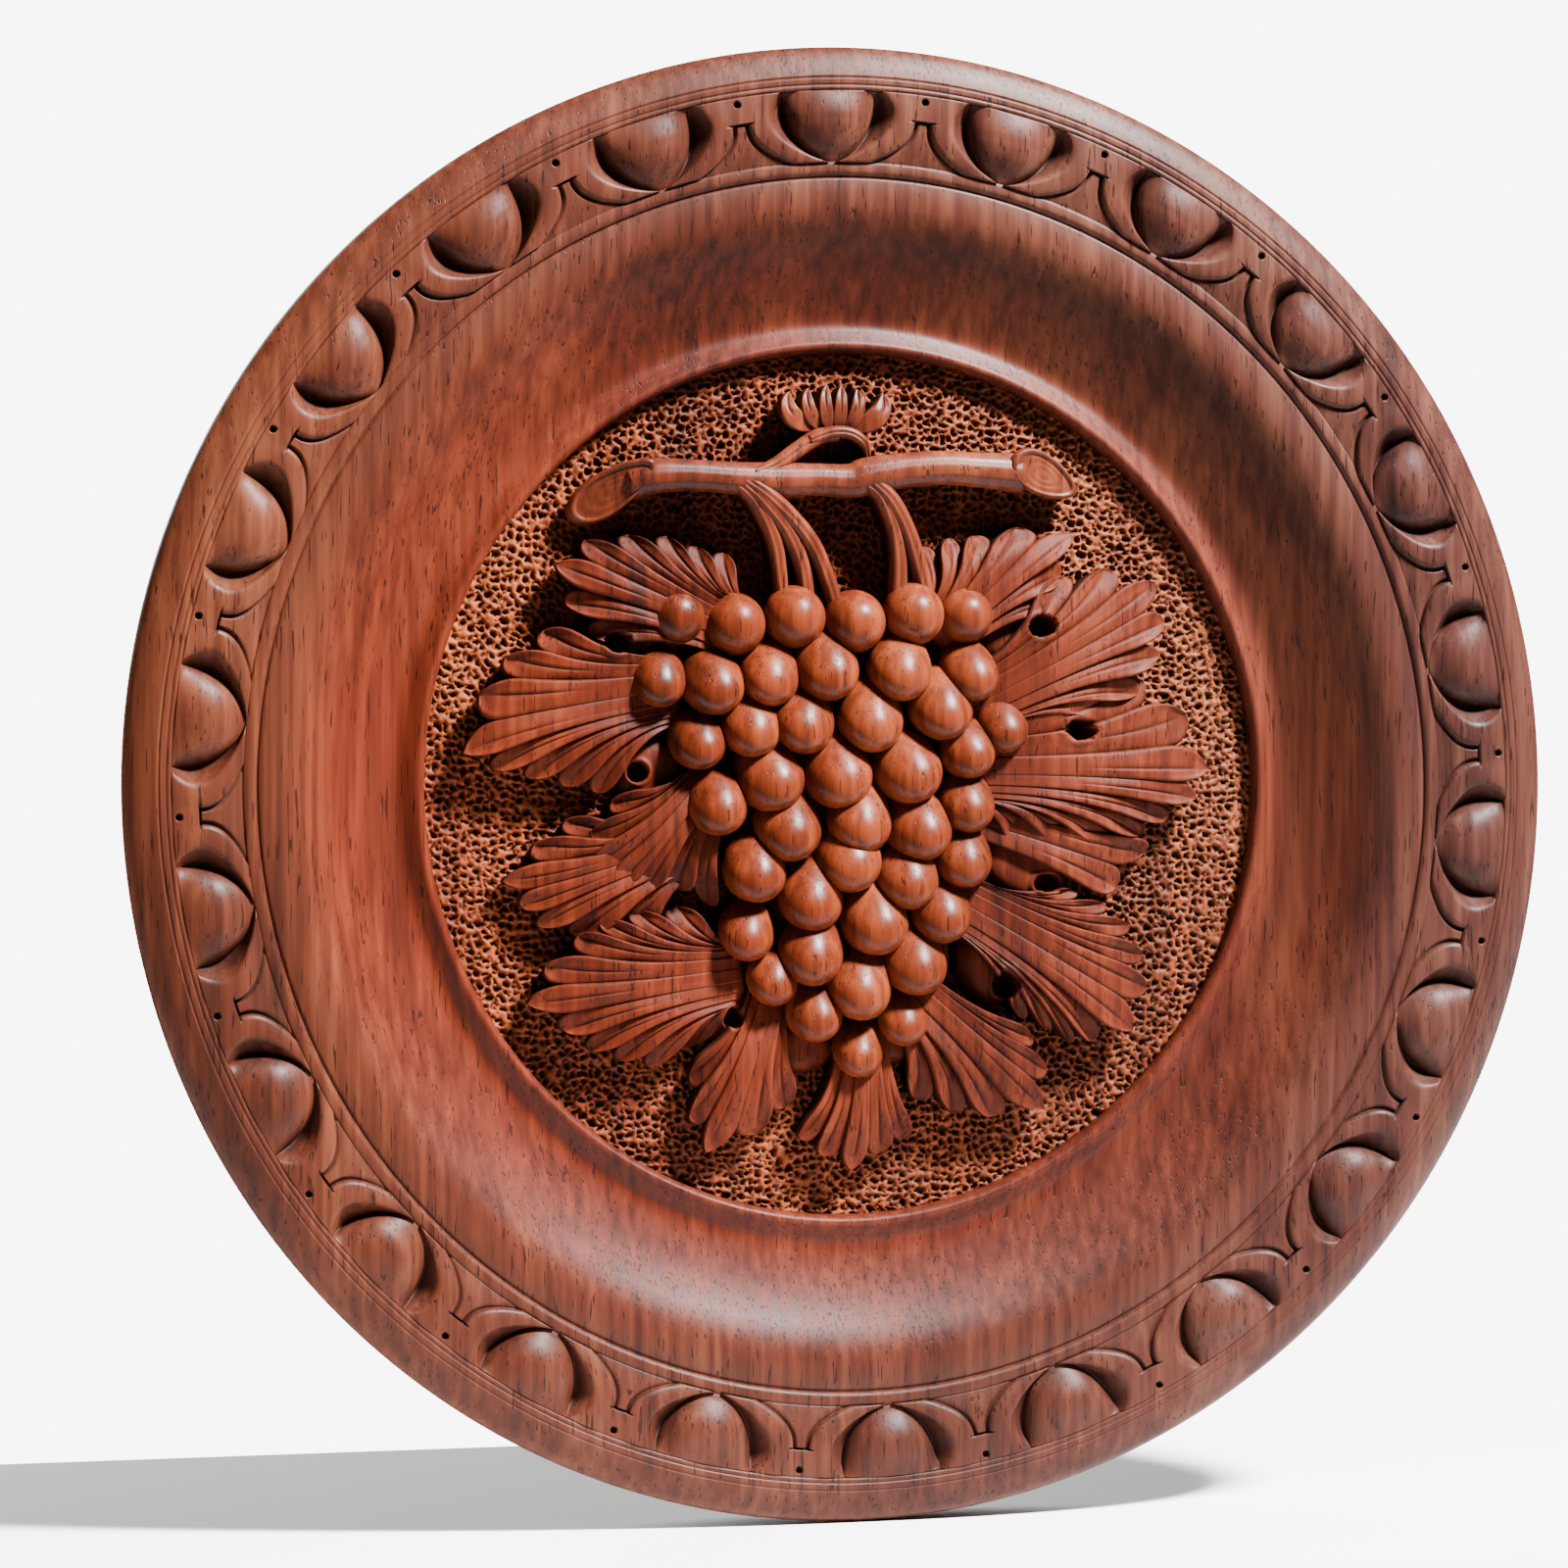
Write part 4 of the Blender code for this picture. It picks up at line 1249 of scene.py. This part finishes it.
class PLAQUE_OT_egg_and_dart(bpy.types.Operator):
    """Carve the ring of eggs and darts inside the rim"""

    bl_idname = "plaque.egg_and_dart"
    bl_label = "Egg and Dart"

    def execute(self, context):
        material = wood("band_wood")
        unit = egg_unit()
        sizes = {"Count": EGG_COUNT, "First Angle": FIRST_EGG_ANGLE}
        ring = run_nodes(unit, repeat_tree(material), "egg_and_dart_ring", sizes)
        finish_piece(ring, material)
        return {"FINISHED"}


class PLAQUE_OT_matted_ground(bpy.types.Operator):
    """Punch the sunk ground behind the carving"""

    bl_idname = "plaque.matted_ground"
    bl_label = "Matted Ground"

    def execute(self, context):
        material = wood("ground_wood")
        tree = punch_tree(material)
        sizes = {"Spacing": settings().punch_spacing, "Depth": settings().punch_depth}
        for name, start in (("ground_right", 0.0), ("ground_left", math.pi)):
            slab = ground_slab(name + "_slab", start, start + math.pi)
            finish_piece(run_nodes(slab, tree, name, sizes), material)
        return {"FINISHED"}


class PLAQUE_OT_grapes(bpy.types.Operator):
    """Carve the bunch of grapes and the swelling behind it"""

    bl_idname = "plaque.grapes"
    bl_label = "Grapes"

    def execute(self, context):
        material = wood("grape_wood")
        places = [grape for row in GRAPE_ROWS for grape in row]
        top_row = GRAPE_ROWS[0]
        shapes = (
            ("round_grapes", top_row, 1.0, ROUND_GRAPE_TILT),
            ("tucked_grapes", places[len(top_row):], GRAPE_STRETCH, GRAPE_TILT),
        )
        for name, members, stretch, tilt in shapes:
            unit = grape_unit(stretch, tilt)
            sizes = [0.5 * diameter + GRAPE_GROWTH for _, _, diameter in members]
            highest = [FRONT_HEIGHT - 0.1 - size * math.hypot(1, tilt) for size in sizes]
            heights = [GRAPE_CENTRE_HEIGHT + BUNCH_RISE * bunch_swell(x, z) for x, z, _ in members]
            points = [(x, z, min(pair)) for (x, z, _), *pair in zip(members, heights, highest)]
            cloud = add_object(name + "_places", points, [], {"size": sizes}, smooth=False)
            bunch = run_nodes(cloud, scatter_tree(unit, material), name, {"Turn": GRAPE_TURN})
            bpy.data.objects.remove(unit, do_unlink=True)
            finish_piece(bunch, material)
        core = join_skins("bunch_core", [bunch_core(places)])
        finish_piece(core, wood("core_shade_wood"))
        return {"FINISHED"}


class PLAQUE_OT_leaves(bpy.types.Operator):
    """Carve the vine leaves round the bunch, finger by finger"""

    bl_idname = "plaque.leaves"
    bl_label = "Leaves"

    def execute(self, context):
        material = wood("leaf_wood")
        groups = {
            "leaves_left": ("top_left", "left", "lower_left_under", "lower_left_over", "bottom_left"),
            "leaves_bottom": ("bottom", "bottom_middle", "bottom_right"),
            "leaves_right": ("lower_right", "right_under", "right", "upper_right", "top_right"),
        }
        for name, members in groups.items():
            skins = [skin for member in members for skin in leaf(*LEAVES[member])]
            skins += [web(*values) for values in LEAF_WEBS[name]]
            finish_piece(join_skins(name, skins), material)
        return {"FINISHED"}


class PLAQUE_OT_branch(bpy.types.Operator):
    """Carve the cut branch, the stems below it and the bud above it"""

    bl_idname = "plaque.branch"
    bl_label = "Branch and Bud"

    def execute(self, context):
        material = wood("branch_wood")
        skins = [strand(BRANCH, BRANCH_STEPS, BRANCH_CREASES)]
        skins += [strand(path, STEM_STEPS, STEM_CREASES) for path in STEMS]
        skins += [cut_end(*end) for end in CUT_ENDS]
        finish_piece(join_skins("branch_and_stems", skins), material)
        skins = [strand(path, CURL_STEPS, STEM_CREASES) for path in (BUD_STALK, BUD_CURL)]
        skins += [petal(*values, BUD_HEIGHT) for values in BUD_PETALS]
        finish_piece(join_skins("flower_bud", skins), material)
        return {"FINISHED"}


class PLAQUE_OT_stage(bpy.types.Operator):
    """Set the pale floor and backdrop, the soft light and the camera"""

    bl_idname = "plaque.stage"
    bl_label = "Stage"

    def execute(self, context):
        self.backdrop()
        self.lights()
        self.camera()
        return {"FINISHED"}

    @staticmethod
    def backdrop():
        floor = -RIM_RADIUS
        outline = ((-FLOOR_REACH, floor), (FLOOR_BEHIND, floor))
        points = [(side * FLOOR_REACH, up, -back) for side in (-1, 1) for back, up in outline]
        sheet = add_object("floor", points, [[0, 1, 3, 2]], smooth=False)
        sheet.data.materials.append(floor_paper())

    @staticmethod
    def lights():
        world = bpy.data.worlds.new("studio")
        world.use_nodes = True
        tree = world.node_tree
        background = tree.nodes["Background"]
        background.inputs["Color"].default_value = (1.0, 0.99, 0.98, 1.0)
        seen = tree.nodes.new("ShaderNodeLightPath")
        strength = tree.nodes.new("ShaderNodeMapRange")
        strength.inputs["To Min"].default_value = AMBIENT_STRENGTH
        strength.inputs["To Max"].default_value = BACKDROP_STRENGTH
        tree.links.new(seen.outputs["Is Camera Ray"], strength.inputs["Value"])
        tree.links.new(strength.outputs["Result"], background.inputs["Strength"])
        bpy.context.scene.world = world
        for name, place_at, size, power in LAMPS:
            light = bpy.data.lights.new(name, "AREA")
            light.size = size
            light.energy = power
            lamp = bpy.data.objects.new(name, light)
            lamp.location = place_at
            direction = -lamp.location.copy()
            lamp.rotation_euler = direction.to_track_quat("-Z", "Y").to_euler()
            bpy.context.scene.collection.objects.link(lamp)

    @staticmethod
    def camera():
        centre = (0.0, -VIEW_AIM_HEIGHT * MM, 0.0)
        shift = math.atan((VIEW_CENTRE_PIXEL[0] - 0.5 * FRAME_PIXELS) / VIEW_FOCAL_PIXELS)
        camera = bpy.data.cameras.new("camera")
        camera.sensor_width = SENSOR_MM
        camera.lens = VIEW_FOCAL_PIXELS / FRAME_PIXELS * SENSOR_MM
        eye = bpy.data.objects.new("camera", camera)
        eye.location = (
            centre[0] + VIEW_DISTANCE * math.sin(VIEW_YAW),
            centre[1] - VIEW_DISTANCE * math.cos(VIEW_YAW),
            centre[2],
        )
        eye.rotation_euler = (0.5 * math.pi, 0.0, VIEW_YAW + shift)
        bpy.context.scene.collection.objects.link(eye)
        bpy.context.scene.camera = eye


class PLAQUE_PT_panel(bpy.types.Panel):
    """Steps and settings of the plaque"""

    bl_label = "Carved Wall Plaque"
    bl_idname = "PLAQUE_PT_panel"
    bl_space_type = "VIEW_3D"
    bl_region_type = "UI"
    bl_category = "Plaque"

    def draw(self, context):
        for step in STEPS:
            self.layout.operator(step.bl_idname)
        for key in PlaqueSettings.__annotations__:
            self.layout.prop(context.scene.plaque_settings, key)


STEPS = (
    PLAQUE_OT_turned_body,
    PLAQUE_OT_egg_and_dart,
    PLAQUE_OT_matted_ground,
    PLAQUE_OT_grapes,
    PLAQUE_OT_leaves,
    PLAQUE_OT_branch,
    PLAQUE_OT_stage,
)


def register():
    for item in (PlaqueSettings, *STEPS, PLAQUE_PT_panel):
        bpy.utils.register_class(item)
    bpy.types.Scene.plaque_settings = bpy.props.PointerProperty(type=PlaqueSettings)


def unregister():
    del bpy.types.Scene.plaque_settings
    for item in (PLAQUE_PT_panel, *reversed(STEPS), PlaqueSettings):
        bpy.utils.unregister_class(item)


def main():
    register()
    for step in STEPS:
        group, name = step.bl_idname.split(".")
        getattr(getattr(bpy.ops, group), name)()


if __name__ == "__main__":
    main()
